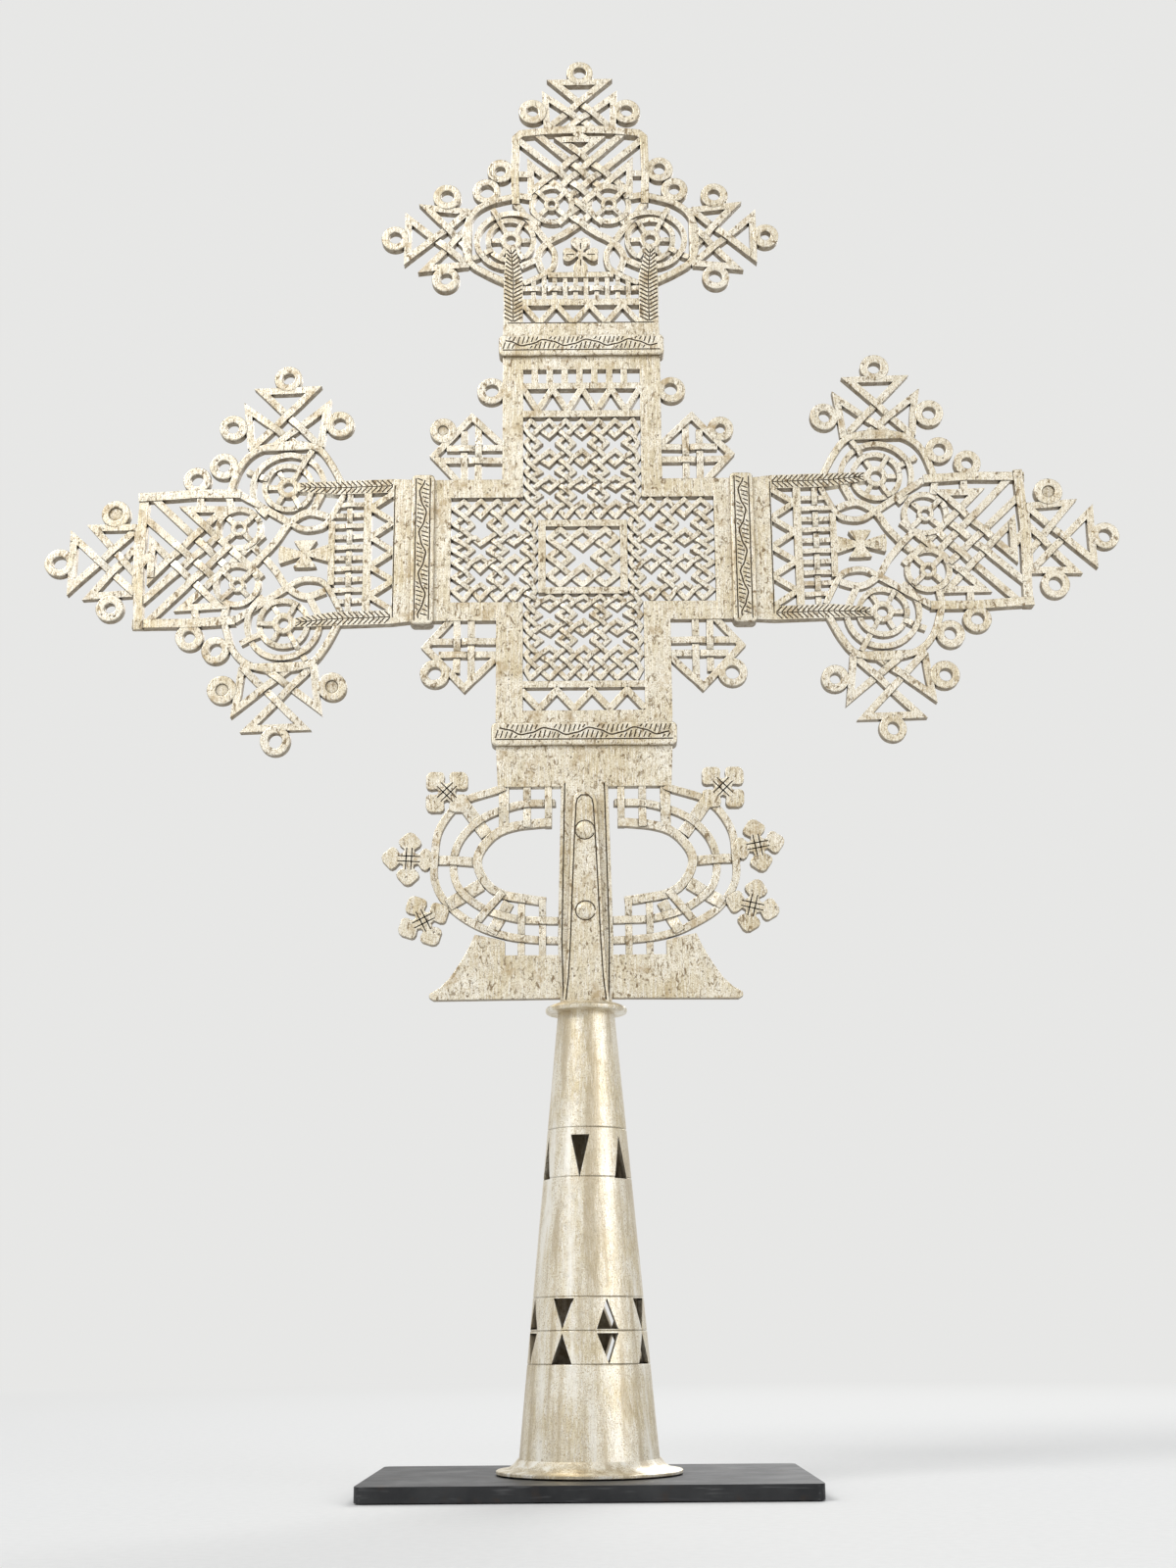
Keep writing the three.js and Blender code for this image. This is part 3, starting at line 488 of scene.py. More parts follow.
# Sockets of a Mix node that mixes colours: share, both colours, and the result.
MIX_INPUTS, MIX_RESULT = (0, 6, 7), 2


class Graph:
    """Short ways to add nodes to a finish or to the world."""

    def __init__(self, tree):
        self.tree = tree

    def fill(self, node, inputs):
        """Sets each input by its value, or links it."""
        for key, value in inputs.items():
            if hasattr(value, "node"):
                self.tree.links.new(value, node.inputs[key])
            else:
                node.inputs[key].default_value = value
        return node

    def node(self, kind, inputs, **settings):
        made = self.tree.nodes.new(kind)
        for key, value in settings.items():
            setattr(made, key, value)
        return self.fill(made, inputs)

    def ramp(self, source, *stops):
        """A slope between two shades or colours."""
        made = self.node("ShaderNodeValToRGB", {"Fac": source})
        for element, (place, value) in zip(made.color_ramp.elements, stops):
            element.position = place
            element.color = (*value, 1) if isinstance(value, tuple) else (value,) * 3 + (1,)
        return made.outputs["Color"]

    def mix(self, share, first, second):
        values = [(*value, 1) if isinstance(value, tuple) else value
                  for value in (share, first, second)]
        made = self.node("ShaderNodeMix", dict(zip(MIX_INPUTS, values)), data_type="RGBA")
        return made.outputs[MIX_RESULT]

    def calc(self, kind, a, b):
        return self.node("ShaderNodeMath", {0: a, 1: b}, operation=kind).outputs[0]

    def clouds(self, place, scale, detail, rough=0.55, warp=0.0):
        return self.node("ShaderNodeTexNoise", {
            "Vector": place, "Scale": scale, "Detail": detail, "Roughness": rough,
            "Distortion": warp}).outputs["Fac"]

    def stretched(self, place, scale, turn=0.0):
        """The place drawn out or squeezed along its axes, after a turn about the depth."""
        return self.node("ShaderNodeMapping", {
            "Vector": place, "Rotation": (0.0, turn, 0.0), "Scale": scale}).outputs[0]

    def mask(self, name):
        """A number that is written on the corners of the piece."""
        return self.node("ShaderNodeAttribute", {}, attribute_name=name).outputs["Fac"]


class Finish(Graph):
    """A new finish, with its shader and the place on the piece that its pattern follows."""

    def __init__(self, name):
        self.material = bpy.data.materials.new(name)
        self.material.use_nodes = True
        super().__init__(self.material.node_tree)
        self.shader = self.tree.nodes["Principled BSDF"]
        self.place = self.node("ShaderNodeTexCoord", {}).outputs["Object"]

    def surface(self, colour, roughness, metallic=0.0):
        self.fill(self.shader, {"Base Color": colour, "Roughness": roughness,
                                "Metallic": metallic})

    def bump(self, height, strength, distance):
        made = self.node("ShaderNodeBump", {
            "Height": height, "Strength": strength, "Distance": distance})
        self.fill(self.shader, {"Normal": made.outputs["Normal"]})


def cast_brass(name, drawn_smooth_with_sheen=False):
    """Pale cast brass, paler where it is rubbed, scratched and specked, with stains and pits, and
    with painted shade on its walls and in its corners.

    Sheet that was drawn and burnished smooth has painted upright bands of highlight and shade
    instead of most of the marks.
    """
    marked = 0.22 if drawn_smooth_with_sheen else 1.0
    smoothest, roughest = (0.30, 0.42) if drawn_smooth_with_sheen else (0.36, 0.56)
    f = Finish(name)
    grain = f.clouds(f.place, 380, 4, 0.6)
    speck = f.clouds(f.place, 2300, 3, 0.7)
    colour = f.mix(f.ramp(f.clouds(f.place, 55, 3), (0.36, 0.0), (0.64, 1.0)), PALE, IVORY)
    colour = f.mix(f.calc("MULTIPLY", f.mask("rubbed"), 0.28), colour, WHITE_METAL)

    # Scratches from filing and cleaning in three directions: two bright, two dull.
    strokes = [f.clouds(f.stretched(f.place, (fine, fine, long), turn), 1.0, 2, 0.5)
               for turn, fine, long in ((0.14, 2600.0, 90.0), (-0.5, 1900.0, 130.0),
                                        (1.35, 2300.0, 120.0))]
    bright = f.ramp(f.calc("MAXIMUM", strokes[0], strokes[1]), (0.54, 0.0), (0.66, 0.9))
    colour = f.mix(bright, colour, WHITE_METAL)
    dull = f.ramp(f.calc("MAXIMUM", strokes[1], strokes[2]), (0.62, 0.0), (0.76, 0.5))
    colour = f.mix(dull, colour, TAN)
    colour = f.mix(f.ramp(speck, (0.36, 0.9), (0.50, 0.0)), colour, STAIN)
    drawn = f.stretched(f.place, (620.0, 620.0, 330.0), 0.6)
    flecks = f.ramp(f.clouds(drawn, 1.0, 5, 0.7, 0.8), (0.55, 0.0), (0.62, 0.97 * marked))
    colour = f.mix(flecks, colour, FLECK)
    if drawn_smooth_with_sheen:
        # Upright bands of painted highlight and painted shade, standing in for reflections on the
        # burnished sheet.
        sheen_bands = f.clouds(f.stretched(f.place, (210.0, 210.0, 7.0)), 1.0, 3, 0.55, 0.3)
        colour = f.mix(f.ramp(sheen_bands, (0.50, 0.0), (0.62, 0.62)), colour, TAN)
        colour = f.mix(f.ramp(sheen_bands, (0.34, 0.9), (0.46, 0.0)), colour, WHITE_METAL)

    # Brown stains, then pits of two sizes in patches.
    stains = f.ramp(f.clouds(f.place, 150, 5, 0.65), (0.54, 0.0), (0.70, 0.8 * marked))
    colour = f.mix(stains, colour, STAIN)
    pits = []
    for size, low, high, where, start, full in ((900.0, 0.08, 0.24, 170, 0.50, 0.60),
                                                (380.0, 0.07, 0.24, 90, 0.50, 0.58)):
        cells = f.node("ShaderNodeTexVoronoi", {
            "Vector": f.place, "Scale": size, "Randomness": 1.0}).outputs["Distance"]
        patches = f.ramp(f.clouds(f.place, where, 3), (start, 0.0), (full, 1.0))
        pits.append(f.calc("MULTIPLY", f.ramp(cells, (low, 1.0), (high, 0.0)), patches))
    spots = f.calc("MAXIMUM", *pits)
    colour = f.mix(f.calc("MULTIPLY", spots, 0.85 * marked), colour, PIT)

    # Painted shade on the walls of the openings and in the corners.
    wall_shading = f.calc("MULTIPLY", f.mask("wall_shade"), f.ramp(grain, (0.3, 0.95), (0.7, 0.5)))
    colour = f.mix(wall_shading, colour, WALL_SHADE)
    # Ambient occlusion darkens the corners and narrow gaps: painted shade.
    corner = f.node("ShaderNodeAmbientOcclusion", {"Distance": 0.0011}, samples=6, only_local=True)
    colour = f.mix(f.ramp(corner.outputs["AO"], (0.50, 0.95), (0.86, 0.0)), colour, CORNER_SHADE)

    worn = f.mix(stains, f.ramp(grain, (0.3, smoothest), (0.7, roughest)), (0.62, 0.62, 0.62))
    f.surface(colour, worn, 0.85)
    height = f.calc("ADD", f.calc("MULTIPLY", bright, -0.5), f.calc("MULTIPLY", speck, 0.6))
    height = f.calc("ADD", height, f.calc("MULTIPLY", grain, 0.8))
    height = f.calc("SUBTRACT", height, f.calc("MULTIPLY", spots, 2.0 * marked))
    f.bump(height, 0.4, 0.00016)
    return f.material


def old_dirt(name):
    """Brown dirt left in an engraved line."""
    f = Finish(name)
    crumbs = f.clouds(f.place, 1800, 3)
    colour = f.ramp(crumbs, (0.35, (0.035, 0.024, 0.014)), (0.7, (0.16, 0.11, 0.06)))
    f.surface(colour, 0.7, 0.2)
    return f.material


def plate_steel(name):
    """Dark mill scale with rubbed scratches and a little rust."""
    f = Finish(name)
    patches = f.clouds(f.place, 55, 5, 0.6)
    lines = f.clouds(f.stretched(f.place, (60.0, 1400.0, 900.0)), 1.0, 2)
    colour = f.ramp(patches, (0.3, (0.024, 0.025, 0.027)), (0.7, (0.055, 0.056, 0.058)))
    scratches = f.ramp(lines, (0.60, 0.0), (0.72, 1.0))
    colour = f.mix(f.calc("MULTIPLY", scratches, 0.35), colour, (0.20, 0.20, 0.205))
    rust = f.ramp(f.clouds(f.place, 130, 4), (0.60, 0.0), (0.74, 0.5))
    colour = f.mix(rust, colour, (0.07, 0.045, 0.03))
    f.surface(colour, f.ramp(patches, (0.3, 0.36), (0.7, 0.6)), 0.8)
    f.bump(lines, 0.15, 0.0001)
    return f.material


def turned_steel(name):
    """Bare turned steel with fine tool rings."""
    f = Finish(name)
    lines = f.clouds(f.stretched(f.place, (30.0, 30.0, 5200.0)), 1.0, 2)
    colour = f.ramp(lines, (0.3, (0.30, 0.30, 0.31)), (0.7, (0.46, 0.46, 0.47)))
    f.surface(colour, f.ramp(lines, (0.3, 0.28), (0.7, 0.42)), 0.9)
    f.bump(lines, 0.12, 0.0001)
    return f.material


brass = cast_brass("cast brass")
sheen_painted_brass = cast_brass("drawn brass with painted sheen", drawn_smooth_with_sheen=True)
dirt = old_dirt("dirt in the lines")


def dress(piece, node_name, *finishes):
    """Gives the piece its finishes and its body, and hides the part of the model that it stands
    for.
    """
    for finish in finishes:
        piece.data.materials.append(finish)
    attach(piece, "cross")
    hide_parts(node_name)


def score(piece, paths):
    """Cuts lines that don't touch one another, and leaves dirt in them."""
    cutter = open_sheet("lines")
    for path, width in paths:
        ribbon(path, width)
    close_sheet(cutter, CUTTER)
    cutter.data.materials.append(brass)
    cutter.data.materials.append(dirt)
    for face in cutter.data.polygons:
        face.material_index = 1
    engrave(piece, cutter)


def score_all(piece, groups):
    """Marks the walls for painted shade, then cuts the groups of lines one after the other."""
    wall_shade(piece)
    piece.data.materials.append(brass)
    piece.data.materials.append(dirt)
    for group in groups:
        score(piece, group)


def finish_casting(name, node_name, layers, groups=()):
    """Joins the layers and cuts the lines, given as x and z, in both faces."""
    piece = join(name, layers)
    score_all(piece, [[([(x, z, face * PLATE / 2) for x, z in points], width)
                       for points, width in group for face in (-1, 1)] for group in groups])
    shade(piece)
    dress(piece, node_name)


# Arms. A point of an arm is the distance across from its middle line, and along from its root.

ARM_STRIP = 7.0
ZIGZAG_TOP = 15.5
BAR_TOP = 18.5
BASKET_TOP = 29.5
ARCH_TOP = 32.0
ARCH_HALF = 12.5
SMALL_CROSS = 41.0
HUB = (28.3, 48.5)
STRIP_TIP = 1.8
STRIP_END = HUB[1] - 3.6
ROUNDEL = (11.7, 67.0)
FRAME_TOP = 105.0
FRAME_HALF = 26.4

# Middles of the feet of the crests: the side ones across and along, the end one along.
SIDE_CREST = (45.5, 50)
END_CREST = FRAME_TOP + 1.4
# A crest's half-widths at its base, at the foot and the top of its straps and at its side
# points, the heights of those points and of its top, and its rings' distance from it.
CREST_BASE = 14.5
CREST_FOOT = 13.6
CREST_TIP = 10.3
SIDE_SPREAD, END_SPREAD = 15.6, 14.2
CREST_POINT = 17.2
CREST_HIGH = 24.8
CREST_RING = 5.3

# Rings as outer and inner radius, steps round them and how far out of round they are.
EYE = 2.45
RING = (5.6, EYE, 28, 0.6)
ROUNDEL_EYE = (3.3, 1.5, 20, 0.2)
HUB_EYE = (4.4, 2.0, 26, 0.2)

# Right halves of the limbs of the small crosses.
ROUND_LIMB = [(0.9, -0.4), (1.0, 1.8), (2.2, 3.0), (3.2, 4.6), (3.3, 6.1), (2.5, 7.3), (1.2, 7.6),
              (0.0, 7.0)]
WEDGE_LIMB = [(0.55, -0.5), (3.7, 9.6), (3.4, 10.0), (0.0, 10.3)]
SQUARE_LIMB = [(2.6, -0.6), (2.3, 2.6), (1.9, 3.7), (3.9, 5.3), (4.5, 6.6), (4.2, 7.7),
               (1.5, 10.5), (0.0, 11.0)]
# A small cross as its limb, and each limb's turn, width and length.
ROUND_CROSS = (ROUND_LIMB, ((0, 1.2, 1.15), (180, 0.9, 1.3), (90, 1.05, 0.95), (-90, 1.05, 0.95)))
WEDGE_CROSS = (WEDGE_LIMB, ((0, 1.0, 1.0), (180, 1.0, 0.98), (90, 1.2, 0.56), (-90, 1.2, 0.56)))


def crossing(k):
    """How far along the middle line the straps of the plait cross for the k-th time."""
    return 57.5 + 8.9 * k


def limb(middle, turn, half_outline, wide, long):
    """One limb of a small cross, from the right half of its outline."""
    c, s = math.cos(math.radians(turn)), math.sin(math.radians(turn))
    outline = half_outline + mirrored(half_outline[:-1])[::-1]
    return [(middle[0] + x * wide * c - y * long * s, middle[1] + x * wide * s + y * long * c)
            for x, y in outline]


def blind_eyes(centres):
    """Thin webs left by the casting in the eyes of some rings."""
    webs = open_sheet("webs")
    for x, z in centres:
        patch(round_line(x, z, EYE + 0.5, 0, 337.5, 15))
    return close_sheet(webs, 2.4)


def crest_lines(place, spread):
    """Three interlaced straps of a crest."""
    knot = [(-CREST_FOOT, 0), (CREST_TIP, CREST_HIGH), (-CREST_TIP, CREST_HIGH), (CREST_FOOT, 0)]
    side = [(-CREST_FOOT, 0), (-spread, CREST_POINT), (CREST_FOOT / 2.3, 0)]
    return [([place(*p) for p in line], STRAP) for line in (knot, side, mirrored(side))]


def crest_rings(place, spread):
    return [place(0, CREST_HIGH + 5.1), place(spread + CREST_RING, 9.2),
            place(-spread - CREST_RING, 9.2)]


class Arm:
    """One arm of the cross and the layers of its casting.

    It is rooted where place puts its points. Lean is its shift aside for each unit along, strip
    the inner and outer edges of its side strips, and blind the crest and ring of each closed eye.
    """

    def __init__(self, place, root_half, stretch, lean, strip, bowed, small_cross, blind=()):
        self.place, self.root_half, self.stretch, self.lean = place, root_half, stretch, lean
        self.inner, self.outer = strip
        self.bowed, self.small_cross, self.blind = bowed, small_cross, blind
        b, a = SIDE_CREST
        self.crests = [(lambda q, p: self.put(b + p, a - q), SIDE_SPREAD),
                       (lambda q, p: self.put(-(b + p), a - q), SIDE_SPREAD),
                       (lambda q, p: self.put(q, END_CREST + p), END_SPREAD)]

    def put(self, b, a):
        return self.place(b - self.lean * max(0.0, a), a * (self.stretch if a > 0 else 1))

    def way(self, points, side=1):
        return [self.put(side * b, a) for b, a in points]

    def plates(self):
        """The plates and bars that lie level, and the small cross."""
        layer = open_sheet("plates")
        patch(self.way([(-self.root_half, -4.5), (self.root_half, -4.5), (self.root_half, 0),
                        (self.outer, ARM_STRIP), (-self.outer, ARM_STRIP), (-self.root_half, 0)]))
        flat(self.way([(-self.inner, ZIGZAG_TOP + 1.5), (self.inner, ZIGZAG_TOP + 1.5)]), 3.0)
        flat(self.way([(-ARCH_HALF - 0.8, ARCH_TOP - 1.25), (ARCH_HALF + 0.8, ARCH_TOP - 1.25)]),
             2.5)
        high, low = ZIGZAG_TOP + 0.4, ARM_STRIP - 0.3
        first, second, turns = (high, low, 7) if self.bowed else (low, high, 8)
        flat(self.way(zigzag(-self.inner, self.inner, first, second, turns)), 2.3)
        strip = [(self.inner, ARM_STRIP - 0.1), (self.outer, ARM_STRIP - 0.1),
                 (self.outer, BASKET_TOP), (HUB[0] + STRIP_TIP, STRIP_END),
                 (HUB[0] - STRIP_TIP, STRIP_END), (self.inner, BASKET_TOP)]
        for side in (1, -1):
            patch(self.way(strip, side))
        if self.bowed:
            self.bowed_frame()
        else:
            self.square_frame()
        flat(self.way([(-2.2, FRAME_TOP - 0.5), (2.2, FRAME_TOP - 4)]), 3.0)
        half_outline, limbs = self.small_cross
        for turn, wide, long in limbs:
            patch(self.way(limb((0, SMALL_CROSS), turn, half_outline, wide, long)))
        return close_sheet(layer, PLATE, EDGE)

    def bowed_frame(self):
        side_bar = [(FRAME_HALF, ROUNDEL[1]), (FRAME_HALF + 0.5, 84),
                    (FRAME_HALF, FRAME_TOP - 3.4), (FRAME_HALF - 2.6, FRAME_TOP - 0.6)]
        for side in (1, -1):
            flat(self.way(side_bar, side), 3.2)
        flat(curved(self.way([(1.8 - FRAME_HALF, FRAME_TOP - 1.2), (-14, FRAME_TOP + 0.1),
                              (0, FRAME_TOP + 0.6), (14, FRAME_TOP + 0.1),
                              (FRAME_HALF - 1.8, FRAME_TOP - 1.2)]), 6), 3.2)

    def square_frame(self):
        side_bar = [(FRAME_HALF, ROUNDEL[1]), (FRAME_HALF + 0.6, 84),
                    (FRAME_HALF - 0.3, FRAME_TOP + 1.8)]
        bars = [(self.way(side_bar, side), 3.5) for side in (1, -1)]
        bars.append((self.way([(-FRAME_HALF - 2.1, FRAME_TOP - 0.9), (-6, FRAME_TOP + 0.3),
                               (FRAME_HALF + 1.8, FRAME_TOP - 0.3)]), 3.6))
        weave(bars, 0.22)

    def basket(self):
        """One long strap, and ten short ones across it that end at the arch."""
        straps = [(self.way([(-self.inner - 0.5, 24), (self.inner + 0.5, 24)]), 2.2)]
        for i in range(10):
            b = (i - 4.5) * 2 * self.inner / 11
            over = max(0.0, abs(b) - ARCH_HALF) / (self.inner - ARCH_HALF)
            straps.append((self.way([(b, BAR_TOP - 1), (b, ARCH_TOP - 0.6 - over * 5)]), 1.9))
        return straps

    def knots(self, side):
        """Half of the plait at the end of the arm, with its small roundel."""
        bent = ([(-9, crossing(0)), (20.4, crossing(3) + 3.4), (20.2, crossing(2) - 1.6),
                 (-7.2, FRAME_TOP - 4.4), (7.2, FRAME_TOP - 4.4)],
                [(-4.7, crossing(2) - 4.7), (FRAME_HALF - 0.5, FRAME_TOP - 4)],
                [(-8.9, crossing(2)), (FRAME_HALF - 8.6, FRAME_TOP - 1)],
                [(20.6, crossing(3) - 1.5), (FRAME_HALF, crossing(3) - 1.5)])
        arch = [(ARCH_HALF + 3, ARCH_TOP + 0.6), (ARCH_HALF + 5, ARCH_TOP + 8.5),
                (ARCH_HALF + 0.8, ARCH_TOP + 15.5), (ARCH_HALF / 2, crossing(0) - 5.3),
                (0, crossing(0)), (-4.2, crossing(0) + 4.2)]
        tie = [(ROUNDEL[0] + 8.2, ROUNDEL[1] + 3.5), (FRAME_HALF, ROUNDEL[1] + 4.8)]
        straps = [(self.way(line, side), STRAP) for line in bent]
        straps += [(curved(self.way(arch, side)), STRAP), (self.way(tie, side), STRAP)]
        x, z = self.put(side * ROUNDEL[0], ROUNDEL[1])
        straps.append((round_line(x, z, 8.2, 20, 380, 28), 2.2))
        return straps + spokes(x, z, 2.9, 8.4, 2.0, 4, 45)

    def hubs(self, side):
        """The big roundel with its spokes, and the straps that hold it."""
        x, z = self.put(side * HUB[0], HUB[1])
        straps = [(round_line(x, z, 9.3, 10, 370, 32), 2.1)]
        straps += spokes(x, z, 3.9, 10, 1.9, 6, 0)
        straps.append((self.way(round_line(*HUB, 14, -92, 145, 24), side), 2.2))
        for degrees in (-30, 65):
            ends = [polar(*HUB, 9.3, degrees), polar(*HUB, 18, degrees)]
            straps.append((self.way(ends, side), 2.2))
        for line in ([(ARCH_HALF + 1, ARCH_TOP + 15.5), (FRAME_HALF, ROUNDEL[1] + 0.5)],
                     [(self.inner + 1, ARCH_TOP + 3.2), (ARCH_HALF + 4.6, ARCH_TOP + 7.2)]):
            straps.append((self.way(line, side), STRAP))
        return straps

    def woven(self):
        """Everything that is laid over and under: basket, plait, roundels and crests."""
        layer = open_sheet("woven")
        weave(self.basket())
        weave(self.knots(1) + self.knots(-1))
        weave(self.hubs(1) + self.hubs(-1))
        for crest in self.crests:
            weave(crest_lines(*crest))
        return close_sheet(layer, WOVEN, EDGE, rubbed=1.0)

    def rings(self):
        """All the rings of the arm: in its roundels, on its crests and on its outline."""
        found = []
        for side in (1, -1):
            found.append((*self.put(side * ROUNDEL[0], ROUNDEL[1]), *ROUNDEL_EYE))
            found.append((*self.put(side * HUB[0], HUB[1]), *HUB_EYE))
        for crest in self.crests:
            found += [(*centre, *RING) for centre in crest_rings(*crest)]
        for side in (1, -1):
            found.append((*self.put(side * (FRAME_HALF + 6.3), crossing(3) + 0.3), *RING))
            found.append((*self.put(side * (FRAME_HALF + 12), crossing(2) - 1.3), *RING))
        return found

    def rims(self):
        """The bows round the big roundels, the feet of the crests, and the rings."""
        layer = open_sheet("rims")
        outer_bow = [(self.outer - 1, BAR_TOP + 9), (HUB[0] + 10.5, ARCH_TOP + 0.5), (45.0, 38.0),
                     (47.0, HUB[1]), (45.0, 60.5), (HUB[0] + 10, ROUNDEL[1] + 0.5),
                     (FRAME_HALF, ROUNDEL[1] + 4.5)]
        inner_bow = [(self.inner, ARCH_TOP - 5.5), (ARCH_HALF + 0.6, ARCH_TOP + 0.6),
                     (ARCH_HALF - 1.9, ARCH_TOP + 5.8), (ARCH_HALF - 1.6, ARCH_TOP + 11),
                     (ARCH_HALF + 1.0, ARCH_TOP + 15.2)]
        for side, crests in ((1, (0, 2)), (-1, (1,))):
            flat(curved(self.way(outer_bow, side)), 2.8)
            flat(curved(self.way(inner_bow, side)), 2.5)
            for k in crests:
                place = self.crests[k][0]
                flat([place(-CREST_BASE, 0), place(CREST_BASE, 0)], STRAP)
        for ring in self.rings():
            washer(*ring)
        return close_sheet(layer, RIM, 0.5, 3, rubbed=0.6)

    def cuts(self):
        """Feather cuts and middle lines of the side strips, and veins of a round small cross.

        They come in groups of lines that don't touch one another.
        """
        cut = 0.62 if self.bowed else 0.5
        middle_line = (self.inner + self.outer) / 2
        inward, outward, spines = [], [], []
        for side in (1, -1):
            for k in range(18):
                a = ARM_STRIP + 1.6 + 2.0 * k
                t = max(0.0, (a - BASKET_TOP) / (STRIP_END - BASKET_TOP))
                near = self.inner + (HUB[0] - STRIP_TIP - self.inner) * t + 0.3
                far = self.outer + (HUB[0] + STRIP_TIP - self.outer) * t - 0.3
                middle = (near + far) / 2
                inward.append((self.way([(middle - 0.3, a - 1.1), (near, a + 1.1)], side), cut))
                outward.append((self.way([(middle + 0.3, a - 1.1), (far, a + 1.1)], side), cut))
            spine = [(middle_line, ARM_STRIP + 0.4), (middle_line, BASKET_TOP),
                     (HUB[0], HUB[1] - 5)]
            spines.append((self.way(spine, side), 0.42))
        root = self.way([(-self.root_half + 2, ARM_STRIP - 0.4),
                         (self.root_half - 2, ARM_STRIP - 0.4)])
        for turn in (0, 90, 180, 270) if self.bowed else ():
            c, s = math.cos(math.radians(turn)), math.sin(math.radians(turn))
            vein = [(-y * s, SMALL_CROSS + y * c) for y in (2.6, 5.8)]
            inward.append((self.way(vein), LINE))
        return inward, outward, spines, [(root, 0.42)]

    def cast(self, name, node_name):
        layers = [self.plates(), self.woven(), self.rims()]
        if self.blind:
            layers.append(blind_eyes([crest_rings(*self.crests[crest])[ring]
                                      for crest, ring in self.blind]))
        finish_casting(name, node_name, layers, self.cuts())


# Where the arms are rooted: the top one in height, the side ones from the middle.
TOP_ROOT = HIGH_JOINT + 4.6
SIDE_ROOT = 66.8
SIDE_ARM = {"root_half": 29.6, "stretch": 1.0, "lean": 0.03, "strip": (24.5, 30.2),
            "bowed": False, "small_cross": WEDGE_CROSS}

Arm(lambda b, a: (b, TOP_ROOT + a), root_half=31.4, stretch=0.9, lean=0.0,
    strip=(23.4, 31.2), bowed=True, small_cross=ROUND_CROSS).cast("top_casting", "upper_arm")
Arm(lambda b, a: (SIDE_ROOT + a, CENTRE - b), **SIDE_ARM,
    blind=((2, 2),)).cast("right_casting", "right_arm")
Arm(lambda b, a: (-SIDE_ROOT - a, CENTRE + b), **SIDE_ARM,
    blind=((1, 1), (1, 2), (2, 1))).cast("left_casting", "left_arm")


# Centre panel

UP_HALF_TOP = 31.4
UP_HALF_FOOT = 33.5
PANEL_LOW, PANEL_HIGH = 265, 435.5
BAR_LOW, BAR_HIGH = 314.9, 373.9
LATTICE_HALF = 23.2
CROSSBAR_HALF = 24

# Places of the eyes of the lattice, and the rows that hold its stars.
ROWS = (294.9, 301.2, 307.0, 312.4, 317.4, 322.6, 327.4, 332.8, 339.0, 344.3, 349.3, 355.1, 361.7,
        367.3, 372.3, 377.4, 383.2, 389.5, 395.8)
COLUMNS = (-46.3, -39.7, -33.2, -26.5, -20.2, -13.0, -6.5, 0.0, 6.5, 13.0, 20.2, 26.5, 33.2, 39.7,
           46.3)
STAR_ROWS = (2, 4, 7, 9, 11, 13, 15, 17)


def lattice_cells():
    """The eyes of the lattice: all but the stars, where the four gaps round one run together."""
    for j in range(len(ROWS)):
        for i in range(len(COLUMNS)):
            in_bar, in_upright = 6 <= j <= 12, 4 <= i <= 10
            in_square = 5 <= i <= 9 and 6 <= j <= 11
            star = i % 2 == 1 and j in STAR_ROWS
            if (in_bar or in_upright) and not in_square and not star:
                yield i, j


def lattice_spot(kind, i, j):
    """Where two eyes meet: side by side (x) or one over the other (z)."""
    if kind == "x":
        inner = (COLUMNS[max(i - 1, 0)] + COLUMNS[min(i, 14)]) / 2
        x, z = {0: -50.2, 15: 50.2}.get(i, inner), ROWS[j]
        if i in (4, 11) and not 6 <= j <= 12:
            x = math.copysign(LATTICE_HALF - 0.9, x)
        if i in (5, 10) and 6 <= j <= 11:
            x = math.copysign(18.2, x)
    else:
        x = COLUMNS[i]
        z = {0: 291.5, 19: 399.4}.get(j, (ROWS[max(j - 1, 0)] + ROWS[min(j, 18)]) / 2)
        if abs(x) > LATTICE_HALF:
            z = {6: 323.6, 13: 365.0}.get(j, z)
        elif j == 12 and abs(x) < 17:
            z = 357.7
        if (i, j) == (1, 11):
            z = 347.7
    seed = Vector((x * 0.15, z * 0.15, 2.0))
    return x + 0.42 * noise.noise(seed), z + 0.42 * noise.noise(seed + Vector((7, 1, 3)))


def square_spot(kind, i, j):
    """The same for the eight eyes in the framed square."""
    aside, below = (13.2, 7.7) if kind == "x" else (8.8, 11.5)
    return 8.8 * i - aside, 341.2 + 7.7 * j - below


def plait(cells, spot, width, reach):
    """Endless straps round all the eyes.

    They cross where two eyes meet and turn back where an eye stands alone.
    """
    cells = set(cells)
    used = set()
    for start in [(i, j, a, b) for i, j in sorted(cells) for a in (0, 1) for b in (0, 1)]:
        if start in used:
            continue
        edge, kind, stops = start, "x", []
        while edge not in used:
            used.add(edge)
            i, j, a, b = edge
            if kind == "x":
                place, there, turn = ("x", i + a, j), (i + 2 * a - 1, j), (i, j, a, 1 - b)
            else:
                place, there, turn = ("z", i, j + b), (i, j + 2 * b - 1), (i, j, 1 - a, b)
            crosses = there in cells
            edge = (*there, 1 - a, 1 - b) if crosses else turn
            over = (a != b) == (kind == "x")
            stops.append((spot(*place), (-RISE if over else RISE) if crosses else None))
            kind = "z" if kind == "x" else "x"
        path = []
        for k, ((x, z), level) in enumerate(stops):
            if level is None:
                path.append((x, z, 0.0))
                continue
            before, after = stops[k - 1][0], stops[(k + 1) % len(stops)][0]
            course = Vector((after[0] - before[0], after[1] - before[1])).normalized() * reach
            path += [(x - course.x, z - course.y, level), (x + course.x, z + course.y, level)]
        ribbon(path, width, closed=True)


